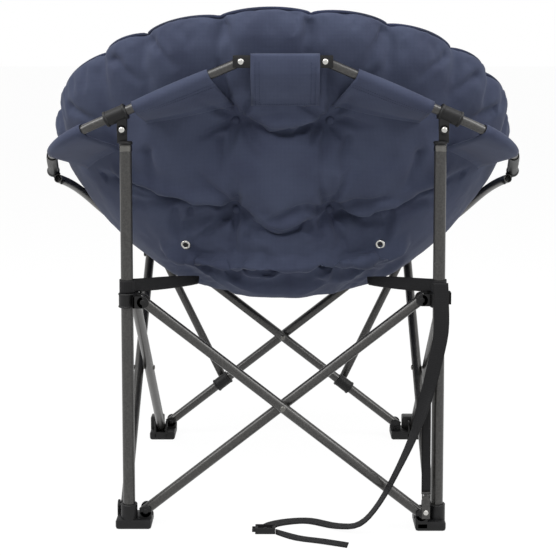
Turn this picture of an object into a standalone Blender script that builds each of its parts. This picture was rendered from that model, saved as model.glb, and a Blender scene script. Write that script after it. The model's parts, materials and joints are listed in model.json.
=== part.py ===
"""A padded round camp chair on a four-way folding scissor frame, standing open.

The chair faces +Y. Four equal scissors on a square plan join two long rear legs and
two front corners, a ring of hinged tubes carries a tufted bowl cushion, and a webbing
strap lies on the floor behind it.
"""
import math

import bmesh
import bpy
from mathutils import Matrix, Vector
from mathutils.bvhtree import BVHTree
from mathutils.geometry import interpolate_bezier

# Frame plan and heights
FRAME_WIDTH = 0.560
PIVOT_INSET = 0.030
FOOT_PIVOT_HEIGHT = 0.030
SCISSOR_RISE = 0.390
LEG_TOP = 0.700

# Tubes
LEG_RADIUS = 0.0110
BRACE_RADIUS = 0.0095
STRUT_RADIUS = 0.0085
RING_RADIUS = 0.0085
TUBE_WALL = 0.0012
TUBE_END = 0.0090
SCISSOR_GAP = 0.0010

# Moulded corner pieces
CHEEK = 0.0040
CHEEK_RADIUS = 0.0110
SIDE_GAP = 0.0005
END_GAP = 0.0006
WALL = 0.0040
POST_HALF = 0.0145
SLEEVE_RADIUS = 0.0150
BASE_HEIGHT = 0.0110
FOOT_HEIGHT = 0.0450
SLIDER_HEIGHT = 0.0260
SLIDE_CLEARANCE = 0.0006
SEAT_GAP = 0.0003
FLOOR_WEB = 0.0060
WEB_SHARE = 0.97
SKIN_SHARE = 0.04
ROOT_SHARE = 0.985
DEEPER = 1.02
CUT_REACH = 0.1

# Pins and rivets
PIN_RADIUS = 0.0030
PIN_CLEARANCE = 0.0003
RIVET_HEAD_RADIUS = 0.0055
RIVET_HEAD = 0.0016

# Leg tops and the ring of tubes
CAP_PLUG = 0.0300
CAP_RIM_RADIUS = 0.0125
CAP_RIM = 0.0060
TONGUE_HALF = 0.0030
EYE_RADIUS = 0.0090
ARM_PIVOT_OUT = 0.0060
ARM_PIVOT_RISE = 0.0270
ARM_LIFT = 0.0300
COLLAR_RADIUS = 0.0135
COLLAR_LENGTH = 0.0420
COLLAR_OUT = 0.0225
HUB_HALF = 0.0740
HUB_BACK = 0.0120
HUB_GAP = 0.0016
HUB_RISE = 0.1480
HUB_BLOCK_HALF = 0.0520
HUB_HEIGHT = 0.0220
HUB_SLIP = 0.0066
KNUCKLE_OUT = 0.1720
KNUCKLE_FORWARD = 0.2500
KNUCKLE_UNDER_RIM = 0.0885
KNUCKLE_RADIUS = 0.0125
KNUCKLE_STANDOFF = 0.0225
KNUCKLE_PLUG = 0.0080
RAIL_FRONT_OUT = 0.0300
RAIL_FRONT_FORWARD = 0.0430
RAIL_FRONT_RISE = 0.0250
BEND_SHARE = 0.38
RAIL_BEND_SHARE = 0.35
ARM_HEADING = (0.16, 0.93, -0.33)
HINGE_HEADING = (-0.626, -0.339, -0.700)
RAIL_START_HEADING = (-0.26, 0.93, -0.26)
RAIL_END_HEADING = (-0.55, 0.75, -0.36)

# Front struts
CLIP_ALONG = 0.1460
CLIP_LENGTH = 0.0360
CLIP_RADIUS = 0.0135
STRUT_FORWARD = 0.0400
STRUT_TOP_OUT = 0.0120
STRUT_TOP_RISE = 0.0250

# Cushion
CUSHION_SIDE_REACH = 0.1680
CUSHION_BACK_RISE = 0.2420
CUSHION_BACK_Y = 0.0240
CUSHION_FRONT_REACH = 0.0900
CUSHION_FRONT_RISE = 0.0750
CUSHION_SAG = 0.0060
CUSHION_HALF = 0.0400
BOWL_SPREAD = 0.80
BOWL_FLAT = 0.26
BOWL_CURL = 1.80
CROWN = 0.40
BOWL_OPENING = Vector((0, 0.59, 0.81))
BOTTOM_SHARE = 0.52
LOBE_ROUND = 0.6
LOBE_DEPTH = 0.040
LOBE_FADE = 9
# Angles of the notches between the lobes, in degrees from the top towards the right as seen from behind
NOTCHES = (5, 25, 45, 60, 80, 100, 115, 135, 150, 170, 190, 210, 225, 245, 260, 280, 310, 325, 345)
CUSHION_AROUND = 72
CUSHION_RINGS = 20
TUFT_HALF_SPACING = 0.0870
TUFT_HEIGHTS = (0.566, 0.738)
TUFT_SPREAD = 0.036
TUFT_DEPTH = 0.62
WAIST_HEIGHT = 0.570
WAIST_SPREAD = 0.018
WAIST_DEPTH = 0.30
BACK_ZONE = 0.160
BUTTON_RADIUS = 0.0080
BUTTON_HEIGHT = 0.0045
GROMMET_X = 0.1860
GROMMET_HEIGHT = 0.494
GROMMET_RADIUS = 0.0100
GROMMET_BORE = 0.0046
GROMMET_RIM = 0.0024

# Cloth pockets, flap and webbing
POCKET_CLOTH = 0.0024
POCKET_TAIL = 0.0200
BACK_POCKET_SHARES = (0.24, 0.82)
BACK_POCKET_TAIL = Vector((0, 0.35, -1))
ARM_POCKET_TAIL = (-0.5, 0.0, -1.0)
FLAP_HALF = 0.0600
FLAP_DROP = 0.0720
FLAP_CLOTH = 0.0030
WEBBING = 0.0020
SEAT_STRAP_HEIGHT = 0.0240
SEAT_STRAP_END_X = 0.1700
STRAP_CLOSING_STEPS = 12
CARRY_WIDTH = 0.0270
FOOT_STRAP_WIDTH = 0.0160
STRAP_LAP = 0.0022
TAB_WIDTH = 0.0150
TAB_SHEET = 0.0020
TAIL_SHARE = 0.8

# Mesh fineness
TUBE_RESOLUTION = 2
ROD_SIDES = 10
PIN_SIDES = 8

X_AXIS = Vector((1, 0, 0))
Y_AXIS = Vector((0, 1, 0))
Z_AXIS = Vector((0, 0, 1))
SIDES = {"left": -1, "right": 1}
LOOSE_STRAP = ("carry_strap", "strap_buckle", "strap_tail")

# Worked-out places
HALF = FRAME_WIDTH / 2
FRONT = FRAME_WIDTH
LOW = FOOT_PIVOT_HEIGHT
HIGH = FOOT_PIVOT_HEIGHT + SCISSOR_RISE
PLANE = BRACE_RADIUS + SCISSOR_GAP / 2
SCISSOR_GRIP = 2 * BRACE_RADIUS + SCISSOR_GAP / 2
LATERAL_X = HALF - PIVOT_INSET
PIN_HOLE = PIN_RADIUS + PIN_CLEARANCE
END_SWEEP = math.hypot(TUBE_END, BRACE_RADIUS) + END_GAP
SLIDER_LOW = HIGH - SLIDER_HEIGHT / 2

# Colour, roughness and metallic value of each finish
GUNMETAL = ((0.080, 0.076, 0.068), 0.38, 0.75)
BLACK_PLASTIC = ((0.012, 0.012, 0.013), 0.50, 0.0)
BRIGHT_STEEL = ((0.62, 0.62, 0.60), 0.25, 1.0)
NAVY_CLOTH = ((0.050, 0.061, 0.108), 0.85, 0.0)
BLACK_WEBBING = ((0.014, 0.014, 0.015), 0.75, 0.0)


def clear_scene():
    """Remove whatever the scene holds and make the two collections."""
    for old in list(bpy.data.objects):
        bpy.data.objects.remove(old)
    collections = []
    for title in ("folding_camp_chair", "cutters"):
        collection = bpy.data.collections.new(title)
        bpy.context.scene.collection.children.link(collection)
        collections.append(collection)
    return collections


PARTS, CUTTERS = clear_scene()


def dress(piece, finish):
    """Give a piece its own material in one of the finishes."""
    colour, roughness, metallic = finish
    material = bpy.data.materials.new(piece.name + "_finish")
    material.use_nodes = True
    shader = material.node_tree.nodes["Principled BSDF"]
    shader.inputs["Base Color"].default_value = (*colour, 1.0)
    shader.inputs["Roughness"].default_value = roughness
    shader.inputs["Metallic"].default_value = metallic
    piece.data.materials.clear()
    piece.data.materials.append(material)


def keep(name, mesh, finish):
    """Put a mesh in the model as the named piece."""
    mesh.shade_smooth()
    mesh.set_sharp_from_angle(angle=math.radians(35))
    piece = bpy.data.objects.new(name, mesh)
    PARTS.objects.link(piece)
    dress(piece, finish)
    return piece


def solid(bm):
    """Turn a bmesh into a hidden working solid."""
    mesh = bpy.data.meshes.new("solid")
    bm.to_mesh(mesh)
    bm.free()
    worker = bpy.data.objects.new("solid", mesh)
    worker.hide_render = True
    worker.display_type = "WIRE"
    CUTTERS.objects.link(worker)
    return worker


def block(points):
    """A box round a few points."""
    low = Vector([min(point[axis] for point in points) for axis in range(3)])
    high = Vector([max(point[axis] for point in points) for axis in range(3)])
    bm = bmesh.new()
    place = Matrix.Translation((low + high) / 2) @ Matrix.Diagonal((*(high - low), 1))
    bmesh.ops.create_cube(bm, size=1, matrix=place)
    return solid(bm)


def rod(start, end, radius, sides=ROD_SIDES):
    """A round bar between two points."""
    along = end - start
    bm = bmesh.new()
    place = Matrix.Translation((start + end) / 2) @ along.to_track_quat("Z", "Y").to_matrix().to_4x4()
    bmesh.ops.create_cone(bm, cap_ends=True, segments=sides, radius1=radius, radius2=radius,
                          depth=along.length, matrix=place)
    return solid(bm)


def ball(centre, radius):
    """A round end."""
    bm = bmesh.new()
    bmesh.ops.create_uvsphere(bm, u_segments=ROD_SIDES, v_segments=ROD_SIDES // 2, radius=radius,
                              matrix=Matrix.Translation(centre))
    return solid(bm)


def combine(piece, other, operation):
    """Add a live Boolean of one solid to a piece."""
    modifier = piece.modifiers.new(operation.lower(), "BOOLEAN")
    modifier.operation = operation
    modifier.object = other


def fuse(name, solids, finish):
    """Join overlapping solids into the named piece."""
    first = solids[0]
    CUTTERS.objects.unlink(first)
    piece = keep(name, first.data, finish)
    bpy.data.objects.remove(first)
    for other in solids[1:]:
        combine(piece, other, "UNION")
    return piece


def drill(piece, start, end, radius, sides=PIN_SIDES):
    """Cut a round hole between two points, whose flats clear the radius."""
    combine(piece, rod(start, end, radius / math.cos(math.pi / sides), sides), "DIFFERENCE")


def tube_bore(radius):
    """Radius of the largest round plug that fits inside a tube's flats."""
    sides = 4 + 2 * TUBE_RESOLUTION
    return (radius - TUBE_WALL) * math.cos(math.pi / sides) - SEAT_GAP


def swept(points, radius, capped):
    """Mesh of a round section carried along a path."""
    curve = bpy.data.curves.new("path", "CURVE")
    curve.dimensions = "3D"
    curve.bevel_depth = radius
    curve.bevel_resolution = TUBE_RESOLUTION
    curve.use_fill_caps = capped
    spline = curve.splines.new("POLY")
    spline.points.add(len(points) - 1)
    for spot, point in zip(spline.points, points):
        spot.co = (*point, 1)
    draft = bpy.data.objects.new("path", curve)
    CUTTERS.objects.link(draft)
    view = bpy.context.evaluated_depsgraph_get()
    mesh = bpy.data.meshes.new_from_object(draft.evaluated_get(view))
    bpy.data.objects.remove(draft)
    return mesh


def tube(name, points, radius, finish):
    """A thin-walled tube along a path, open at both ends."""
    piece = keep(name, swept(points, radius, False), finish)
    wall = piece.modifiers.new("wall", "SOLIDIFY")
    wall.thickness = TUBE_WALL
    wall.offset = -1
    return piece


def bore_along(piece, points, radius):
    """Cut a bore that follows a bent tube."""
    bm = bmesh.new()
    bm.from_mesh(swept(points, radius, True))
    bmesh.ops.remove_doubles(bm, verts=bm.verts, dist=0.00001)
    combine(piece, solid(bm), "DIFFERENCE")


def turned(name, profile, centre, axis, finish, steps=ROD_SIDES):
    """A round piece turned from (radius, height) points listed from top to bottom."""
    bm = bmesh.new()
    corners = [bm.verts.new((radius, 0, height)) for radius, height in profile]
    for upper, lower in zip(corners, corners[1:]):
        bm.edges.new((upper, lower))
    if profile[0][0] > 0:
        bm.edges.new((corners[-1], corners[0]))
    mesh = bpy.data.meshes.new(name)
    bm.to_mesh(mesh)
    bm.free()
    piece = bpy.data.objects.new(name, mesh)
    PARTS.objects.link(piece)
    piece.location = centre
    piece.rotation_euler = axis.to_track_quat("Z", "Y").to_euler()
    screw = piece.modifiers.new("turn", "SCREW")
    screw.steps = steps
    screw.render_steps = steps
    screw.use_merge_vertices = True
    screw.merge_threshold = 0.00005
    dress(piece, finish)
    return piece


def rivet(name, centre, axis, grip):
    """A steel rivet whose two heads stand just clear of what it grips."""
    inner = grip + SEAT_GAP
    outer = inner + RIVET_HEAD
    profile = [(0, outer), (RIVET_HEAD_RADIUS * 0.6, outer), (RIVET_HEAD_RADIUS, inner + RIVET_HEAD * 0.4),
               (RIVET_HEAD_RADIUS, inner), (PIN_RADIUS, inner)]
    profile += [(radius, -height) for radius, height in reversed(profile)]
    return turned(name, profile, centre, axis, BRIGHT_STEEL)


def carry(joint, spot, pieces, parent=None):
    """Hang pieces on an empty that stands on their joint."""
    empty = bpy.data.objects.new(joint, None)
    empty.location = spot
    PARTS.objects.link(empty)
    bpy.context.view_layer.update()
    if parent:
        empty.parent = parent
        empty.matrix_parent_inverse = parent.matrix_world.inverted()
    for piece in pieces:
        piece.parent = empty
        piece.matrix_parent_inverse = Matrix.Translation(-Vector(spot))
    bpy.context.view_layer.update()
    return empty


def brace(name, low, high, axis):
    """One bar of a scissor, drilled for its two end pins and its middle rivet."""
    along = (high - low).normalized()
    piece = tube(name, [low - along * TUBE_END, high + along * TUBE_END], BRACE_RADIUS, GUNMETAL)
    through = axis * BRACE_RADIUS * 2
    for spot in (low, (low + high) / 2, high):
        drill(piece, spot - through, spot + through, PIN_HOLE)
    return piece


def fork(pivot, axis, reach, backed):
    """Two cheeks and a pin that hold a bar's end, running back along reach to their root."""
    inner = BRACE_RADIUS + SIDE_GAP
    outer = inner + CHEEK
    across = axis.cross(reach.normalized()) * CHEEK_RADIUS * WEB_SHARE
    pin_reach = axis * (inner + CHEEK / 2)
    solids = [rod(pivot - pin_reach, pivot + pin_reach, PIN_RADIUS, PIN_SIDES)]
    for face in (-1, 1):
        near = pivot + axis * face * inner
        far = pivot + axis * face * outer
        solids.append(rod(near, far, CHEEK_RADIUS))
        skin = axis * face * CHEEK * SKIN_SHARE
        corners = [spot + edge for spot in (near + skin, far - skin) for edge in (across, -across)]
        solids.append(block(corners + [corner + reach for corner in corners]))
    if backed:
        root = pivot + reach * ROOT_SHARE
        front = pivot + reach.normalized() * END_SWEEP
        corners = [spot + axis * face * outer * ROOT_SHARE for spot in (front, root) for face in (-1, 1)]
        solids.append(block([corner + edge * ROOT_SHARE for corner in corners for edge in (across, -across)]))
    return solids


def lateral_y(side, front, top):
    """Y of the left-right bar that ends at one corner: each bar keeps its own plane."""
    rising_left = (side < 0) != top
    base = FRONT if front else 0.0
    return base + (PLANE if rising_left else -PLANE)


def corner_pivots(side, front, top):
    """Pin places of the left-right bar and the fore-aft bar at one corner."""
    height = HIGH if top else LOW
    lateral = Vector((side * LATERAL_X, lateral_y(side, front, top), height))
    footed_rear = front == top
    fore_x = side * HALF + (-PLANE if footed_rear else PLANE)
    fore_y = FRONT - PIVOT_INSET if front else PIVOT_INSET
    return lateral, Vector((fore_x, fore_y, height))


def foot(name, side, front):
    """A moulded foot: floor plate, two forks and a socket or post."""
    lateral, fore = corner_pivots(side, front, False)
    centre = Vector((side * HALF, FRONT if front else 0.0, 0.0))
    wide = BRACE_RADIUS + SIDE_GAP + CHEEK
    plan = [lateral + Vector((dx * CHEEK_RADIUS, dy * wide, 0)) for dx in (-1, 1) for dy in (-1, 1)]
    plan += [fore + Vector((dx * wide, dy * CHEEK_RADIUS, 0)) for dx in (-1, 1) for dy in (-1, 1)]
    plan += [centre + Vector((dx * POST_HALF, dy * POST_HALF, 0)) for dx in (-1, 1) for dy in (-1, 1)]
    solids = [block([Vector((spot.x, spot.y, height)) for spot in plan for height in (0, BASE_HEIGHT)])]
    drop = Z_AXIS * -(LOW - FLOOR_WEB)
    solids += fork(lateral, Y_AXIS, drop, False)
    solids += fork(fore, X_AXIS, drop * DEEPER, False)
    if front:
        corner = Vector((POST_HALF, POST_HALF, 0)) * ROOT_SHARE
        solids.append(block([centre + corner + Z_AXIS * FLOOR_WEB, centre - corner + Z_AXIS * FOOT_HEIGHT]))
    else:
        solids.append(rod(centre + Z_AXIS * FLOOR_WEB / 2, centre + Z_AXIS * FOOT_HEIGHT, SLEEVE_RADIUS))
    piece = fuse(name, solids, BLACK_PLASTIC)
    if not front:
        socket = centre + Z_AXIS * FLOOR_WEB
        drill(piece, socket, socket + Z_AXIS * CUT_REACH, LEG_RADIUS + SEAT_GAP, ROD_SIDES)
    return piece


def upper_corner(name, side, front):
    """A moulded upper corner: a slider on the rear leg, or the front corner block."""
    lateral, fore = corner_pivots(side, front, True)
    centre = Vector((side * HALF, FRONT if front else 0.0, HIGH))
    half_height = Z_AXIS * SLIDER_HEIGHT / 2
    if front:
        corner = Vector((POST_HALF, POST_HALF, 0))
        solids = [block([centre + corner + half_height, centre - corner - half_height])]
    else:
        solids = [rod(centre - half_height, centre + half_height, SLEEVE_RADIUS)]
    reach = END_SWEEP + WALL
    solids += fork(lateral, Y_AXIS, X_AXIS * side * reach, True)
    solids += fork(fore, X_AXIS, Y_AXIS * (reach if front else -reach), True)
    piece = fuse(name, solids, BLACK_PLASTIC)
    if not front:
        through = Z_AXIS * CUT_REACH
        drill(piece, centre - through, centre + through, LEG_RADIUS + SLIDE_CLEARANCE, ROD_SIDES)
    return piece


def arm_geometry(side):
    """Key points of one ring arm: its hub pin, its line over the leg, its pivot and its knuckle."""
    pivot = Vector((side * (HALF + ARM_PIVOT_OUT), 0, LEG_TOP + ARM_PIVOT_RISE))
    hub_pin = Vector((side * HUB_HALF, -HUB_BACK, LEG_TOP + HUB_RISE))
    over_leg = pivot + Z_AXIS * ARM_LIFT
    along = (over_leg - hub_pin).normalized()
    collar = over_leg + along * COLLAR_OUT
    side_rim = (LEG_TOP + CUSHION_BACK_RISE + HIGH + CUSHION_FRONT_RISE) / 2
    knuckle = Vector((side * (HALF + KNUCKLE_OUT), KNUCKLE_FORWARD, side_rim - KNUCKLE_UNDER_RIM))
    return pivot, hub_pin, along, collar, knuckle


def arm_path(side):
    """Straight from the hub past the collar, then one bend forward to the knuckle."""
    pivot, hub_pin, along, collar, knuckle = arm_geometry(side)
    bend = collar + along * (COLLAR_LENGTH / 2 + TUBE_END / 2)
    span = (knuckle - bend).length
    bend_out = bend + along * span * BEND_SHARE
    bend_in = knuckle - knuckle_along(side) * span * BEND_SHARE
    return [hub_pin - along * TUBE_END] + list(interpolate_bezier(bend, bend_out, bend_in, knuckle, 10))


def heading(right, side):
    """A direction given for the right side, mirrored for the left."""
    return Vector((right[0] * side, right[1], right[2])).normalized()


def knuckle_along(side):
    """Way that the arm tube points at its knuckle."""
    return heading(ARM_HEADING, side)


def knuckle_axis(side):
    """Axis of the rail hinge, pointing down and inwards from the knuckle to the rail."""
    return heading(HINGE_HEADING, side)


def rail_path(side):
    """Front rail of the ring, from beneath the knuckle to the front corner."""
    start = knuckle_centre(side) + knuckle_axis(side) * KNUCKLE_STANDOFF
    end = Vector((side * (HALF + RAIL_FRONT_OUT), FRONT + RAIL_FRONT_FORWARD, HIGH + RAIL_FRONT_RISE))
    lead = heading(RAIL_START_HEADING, side)
    span = (end - start).length
    leave = start + lead * TUBE_END
    arrive = end - heading(RAIL_END_HEADING, side) * span * RAIL_BEND_SHARE
    bend = interpolate_bezier(leave, leave + lead * span * RAIL_BEND_SHARE, arrive, end, 8)
    return [start - lead * TUBE_END] + list(bend)


def knuckle_centre(side):
    """Middle of the knuckle's ball, just past the end of the arm tube."""
    knuckle = arm_geometry(side)[4]
    return knuckle + knuckle_along(side) * (KNUCKLE_RADIUS + SEAT_GAP)


def leg_cap(name, side):
    """Plug and tongue that close a rear leg and carry its ring arm."""
    pivot = arm_geometry(side)[0]
    top = Vector((side * HALF, 0, LEG_TOP + SEAT_GAP))
    rim = top + Z_AXIS * CAP_RIM
    inside = tube_bore(LEG_RADIUS)
    thick = Y_AXIS * TONGUE_HALF
    width = X_AXIS * EYE_RADIUS * WEB_SHARE
    stem = Vector((pivot.x, 0, rim.z - CAP_RIM / 2))
    solids = [rod(top, rim, CAP_RIM_RADIUS), rod(top - Z_AXIS * CAP_PLUG, top + Z_AXIS * CAP_RIM / 2, inside),
              rod(pivot - thick, pivot + thick, EYE_RADIUS),
              block([stem - width - thick, stem + width + thick, pivot + width * ROOT_SHARE])]
    piece = fuse(name, solids, BLACK_PLASTIC)
    drill(piece, pivot - thick * 3, pivot + thick * 3, PIN_HOLE)
    return piece


def arm_collar(name, side):
    """Collar on the ring arm with two ears over the leg's tongue."""
    pivot, hub_pin, along, collar, knuckle = arm_geometry(side)
    reach = along * COLLAR_LENGTH / 2
    middle = collar - reach * 0.5
    solids = [rod(middle - reach, middle + reach, COLLAR_RADIUS)]
    width = X_AXIS * EYE_RADIUS * WEB_SHARE
    for face in (-1, 1):
        near = pivot + Y_AXIS * face * (TONGUE_HALF + SIDE_GAP)
        far = near + Y_AXIS * face * CHEEK
        solids.append(rod(near, far, EYE_RADIUS))
        solids.append(block([near - width, far + width, far - width + Z_AXIS * ARM_LIFT * 0.8]))
    piece = fuse(name, solids, BLACK_PLASTIC)
    drill(piece, middle - reach * 2, middle + reach * 2, RING_RADIUS + SEAT_GAP, ROD_SIDES)
    drill(piece, pivot - Y_AXIS * CUT_REACH, pivot + Y_AXIS * CUT_REACH, PIN_HOLE)
    return piece


def ring_hub(name):
    """Centre piece of the ring: two cheeks round a block, with one round eye and one slotted eye."""
    height = LEG_TOP + HUB_RISE
    tall = Z_AXIS * HUB_HEIGHT / 2
    inner = RING_RADIUS + HUB_GAP
    outer = inner + CHEEK
    centre = Vector((0, -HUB_BACK, height))
    wide = HUB_HALF + CHEEK_RADIUS + HUB_SLIP / 2
    core = X_AXIS * HUB_BLOCK_HALF + (Y_AXIS * outer + tall) * WEB_SHARE
    solids = [block([centre - core, centre + core])]
    for face in (-1, 1):
        near = centre + Y_AXIS * face * inner
        far = centre + Y_AXIS * face * outer
        solids.append(block([near - X_AXIS * wide - tall, far + X_AXIS * wide + tall]))
    piece = fuse(name, solids, BLACK_PLASTIC)
    through = Y_AXIS * outer * 1.5
    left = centre - X_AXIS * HUB_HALF
    drill(piece, left - through, left + through, PIN_HOLE)
    right = centre + X_AXIS * HUB_HALF
    slot = PIN_HOLE + PIN_CLEARANCE
    for slip in (-X_AXIS * HUB_SLIP, X_AXIS * HUB_SLIP):
        drill(piece, right + slip - through, right + slip + through, slot)
    run = X_AXIS * HUB_SLIP + through + Z_AXIS * slot * ROOT_SHARE
    combine(piece, block([right - run, right + run]), "DIFFERENCE")
    return piece


def ring_arm(name, side):
    """Rear tube of the ring, from the hub over the leg to the knuckle."""
    hub_pin = arm_geometry(side)[1]
    piece = tube(name, arm_path(side), RING_RADIUS, GUNMETAL)
    through = Y_AXIS * RING_RADIUS * 2
    drill(piece, hub_pin - through, hub_pin + through, PIN_HOLE)
    return piece


def ring_knuckle(name, side):
    """Ball end of the arm with the pin that the front rail swings on."""
    centre = knuckle_centre(side)
    axis = knuckle_axis(side)
    along = knuckle_along(side)
    boss = centre + axis * (KNUCKLE_STANDOFF - RING_RADIUS - SIDE_GAP)
    tip = centre + axis * (KNUCKLE_STANDOFF + RING_RADIUS + SIDE_GAP)
    inside = tube_bore(RING_RADIUS) - SEAT_GAP
    solids = [ball(centre, KNUCKLE_RADIUS), rod(centre, boss, RIVET_HEAD_RADIUS * 1.3),
              rod(centre, tip + axis * RIVET_HEAD / 2, PIN_RADIUS, PIN_SIDES),
              rod(tip, tip + axis * RIVET_HEAD, RIVET_HEAD_RADIUS),
              rod(centre - along * (KNUCKLE_RADIUS + KNUCKLE_PLUG), centre, inside)]
    return fuse(name, solids, BLACK_PLASTIC)


def ring_rail(name, side):
    """Front tube of the ring."""
    pin = knuckle_centre(side) + knuckle_axis(side) * KNUCKLE_STANDOFF
    piece = tube(name, rail_path(side), RING_RADIUS, GUNMETAL)
    through = knuckle_axis(side) * RING_RADIUS * 2
    drill(piece, pin - through, pin + through, PIN_HOLE)
    return piece


def clip_place(side):
    """Where a strut's clip grips the front scissor bar, and the way that bar runs."""
    plane = lateral_y(side, True, False)
    along = Vector((-side * 2 * LATERAL_X, 0, SCISSOR_RISE)).normalized()
    return Vector((side * LATERAL_X, plane, LOW)) + along * CLIP_ALONG, along


def strut_ends(side):
    """Pin at the clip and the upper end under the cushion's front edge."""
    grip, along = clip_place(side)
    low = Vector((grip.x, FRONT + STRUT_FORWARD, grip.z))
    return low, Vector((side * (HALF + STRUT_TOP_OUT), FRONT + STRUT_FORWARD, HIGH + STRUT_TOP_RISE))


def strut_clip(name, side):
    """Moulded sleeve on the front scissor with a boss for the strut."""
    grip, along = clip_place(side)
    pin = strut_ends(side)[0]
    reach = along * CLIP_LENGTH / 2
    boss = pin - Y_AXIS * (STRUT_RADIUS + SIDE_GAP)
    tip = pin + Y_AXIS * (STRUT_RADIUS + SIDE_GAP)
    solids = [rod(grip - reach, grip + reach, CLIP_RADIUS), rod(grip, boss, RIVET_HEAD_RADIUS * 1.5),
              rod(boss - Y_AXIS * CHEEK, tip + Y_AXIS * RIVET_HEAD / 2, PIN_RADIUS, PIN_SIDES),
              rod(tip, tip + Y_AXIS * RIVET_HEAD, RIVET_HEAD_RADIUS)]
    piece = fuse(name, solids, BLACK_PLASTIC)
    drill(piece, grip - reach * 2, grip + reach * 2, BRACE_RADIUS + SEAT_GAP, ROD_SIDES)
    return piece


def front_strut(name, side):
    """Strut from the clip up to the cushion's front edge."""
    low, high = strut_ends(side)
    along = (high - low).normalized()
    piece = tube(name, [low - along * TUBE_END, high], STRUT_RADIUS, GUNMETAL)
    through = Y_AXIS * STRUT_RADIUS * 2
    drill(piece, low - through, low + through, PIN_HOLE)
    return piece


def lobe_share(turn):
    """Share of the way from one notch of the rim to the next at an angle round it."""
    angle = (90 - math.degrees(turn)) % 360
    after = next((notch for notch in NOTCHES if notch > angle), NOTCHES[0] + 360)
    before = max((notch for notch in NOTCHES if notch <= angle), default=NOTCHES[-1] - 360)
    return (angle - before) / (after - before)


def cushion_rim(turn, notched=1.0):
    """Edge of the bowl at an angle round it, with this share of its notches' depth."""
    back = Vector((0, CUSHION_BACK_Y, LEG_TOP + CUSHION_BACK_RISE))
    front = Vector((0, FRONT + CUSHION_FRONT_REACH, HIGH + CUSHION_FRONT_RISE))
    middle = (back + front) / 2
    lobe = math.sin(math.pi * lobe_share(turn))
    reach = 1 - notched * LOBE_DEPTH * (1 - max(0, lobe) ** LOBE_ROUND)
    sweep = (back - front) / 2 * math.sin(turn) + X_AXIS * (HALF + CUSHION_SIDE_REACH) * math.cos(turn)
    return middle + sweep * reach


def cushion_middle(turn, depth):
    """Middle of the padding: depth 0 is the bottom of the bowl and 1 its rim."""
    bottom = Vector((0, FRONT * BOTTOM_SHARE, HIGH + CUSHION_SAG))
    rim = cushion_rim(turn, min(1.0, depth) ** LOBE_FADE)
    share = depth ** BOWL_SPREAD
    flat = (rim - bottom) * share
    rise = (rim.z - bottom.z) * max(0, (share - BOWL_FLAT) / (1 - BOWL_FLAT)) ** BOWL_CURL
    return Vector((bottom.x + flat.x, bottom.y + flat.y, bottom.z + rise))


def padding(spot, face):
    """Half thickness at a place: crowned, drawn in at the rim, the tufts and the waist."""
    thickness = CUSHION_HALF * abs(face) ** CROWN
    if spot.y < BACK_ZONE:
        for side in SIDES.values():
            for height in TUFT_HEIGHTS:
                away = math.hypot(spot.x - side * TUFT_HALF_SPACING, spot.z - height)
                thickness *= 1 - TUFT_DEPTH * math.exp(-(away / TUFT_SPREAD) ** 2)
        thickness *= 1 - WAIST_DEPTH * math.exp(-((spot.z - WAIST_HEIGHT) / WAIST_SPREAD) ** 2)
    return thickness


def cushion(name):
    """Tufted bowl cushion, pressed from a sphere whose equator becomes the rim."""
    bm = bmesh.new()
    bmesh.ops.create_uvsphere(bm, u_segments=CUSHION_AROUND, v_segments=CUSHION_RINGS, radius=1)
    step = 0.01
    for vertex in bm.verts:
        depth = min(1.0, math.hypot(vertex.co.x, vertex.co.y))
        turn = math.atan2(vertex.co.y, vertex.co.x)
        spot = cushion_middle(turn, depth)
        near = max(depth, 4 * step)
        along = cushion_middle(turn, near + step) - cushion_middle(turn, near - step)
        around = cushion_middle(turn + step, near) - cushion_middle(turn - step, near)
        outward = along.cross(around).normalized() if depth > step else Z_AXIS.copy()
        if outward.dot(BOWL_OPENING) < 0:
            outward.negate()
        vertex.co = spot + outward * math.copysign(padding(spot, vertex.co.z), vertex.co.z)
    if bm.calc_volume(signed=True) < 0:
        bmesh.ops.reverse_faces(bm, faces=bm.faces)
    surface = BVHTree.FromBMesh(bm)
    mesh = bpy.data.meshes.new(name)
    bm.to_mesh(mesh)
    bm.free()
    return keep(name, mesh, NAVY_CLOTH), surface


def behind(surface, x, z):
    """Point and outward direction on the cushion's rear face at a height and offset."""
    spot, normal, face, distance = surface.ray_cast(Vector((x, -1, z)), Y_AXIS)
    return spot, normal


def seated(surface, spot, normal, radius):
    """Place of a round base that is lifted until its whole rim clears the surface."""
    start = normal.orthogonal().normalized() * radius
    lift = 0.0
    for turn in range(ROD_SIDES):
        edge = spot + Matrix.Rotation(2 * math.pi * turn / ROD_SIDES, 3, normal) @ start
        hit = surface.ray_cast(edge + normal * radius, -normal, 2 * radius)[0]
        if hit:
            lift = max(lift, (hit - spot).dot(normal))
    return spot + normal * (lift + SEAT_GAP)


def button(name, surface, x, z):
    """Cloth-covered tuft button, seated in its dimple."""
    spot, normal = behind(surface, x, z)
    under = BUTTON_RADIUS * 0.7
    profile = [(0, BUTTON_HEIGHT), (under, BUTTON_HEIGHT * 0.8), (BUTTON_RADIUS, BUTTON_HEIGHT * 0.3),
               (under, 0), (0, 0)]
    place = seated(surface, spot, normal, under)
    return turned(name, profile, place, normal, NAVY_CLOTH, 12)


def grommet(name, surface, side):
    """Bright drainage eyelet on the cushion's rear face."""
    spot, normal = behind(surface, side * GROMMET_X, GROMMET_HEIGHT)
    profile = [(GROMMET_RADIUS * 0.8, GROMMET_RIM), (GROMMET_RADIUS, 0), (GROMMET_BORE, 0),
               (GROMMET_BORE, GROMMET_RIM)]
    place = seated(surface, spot, normal, GROMMET_RADIUS)
    return turned(name, profile, place, normal, BRIGHT_STEEL, 16)


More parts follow.
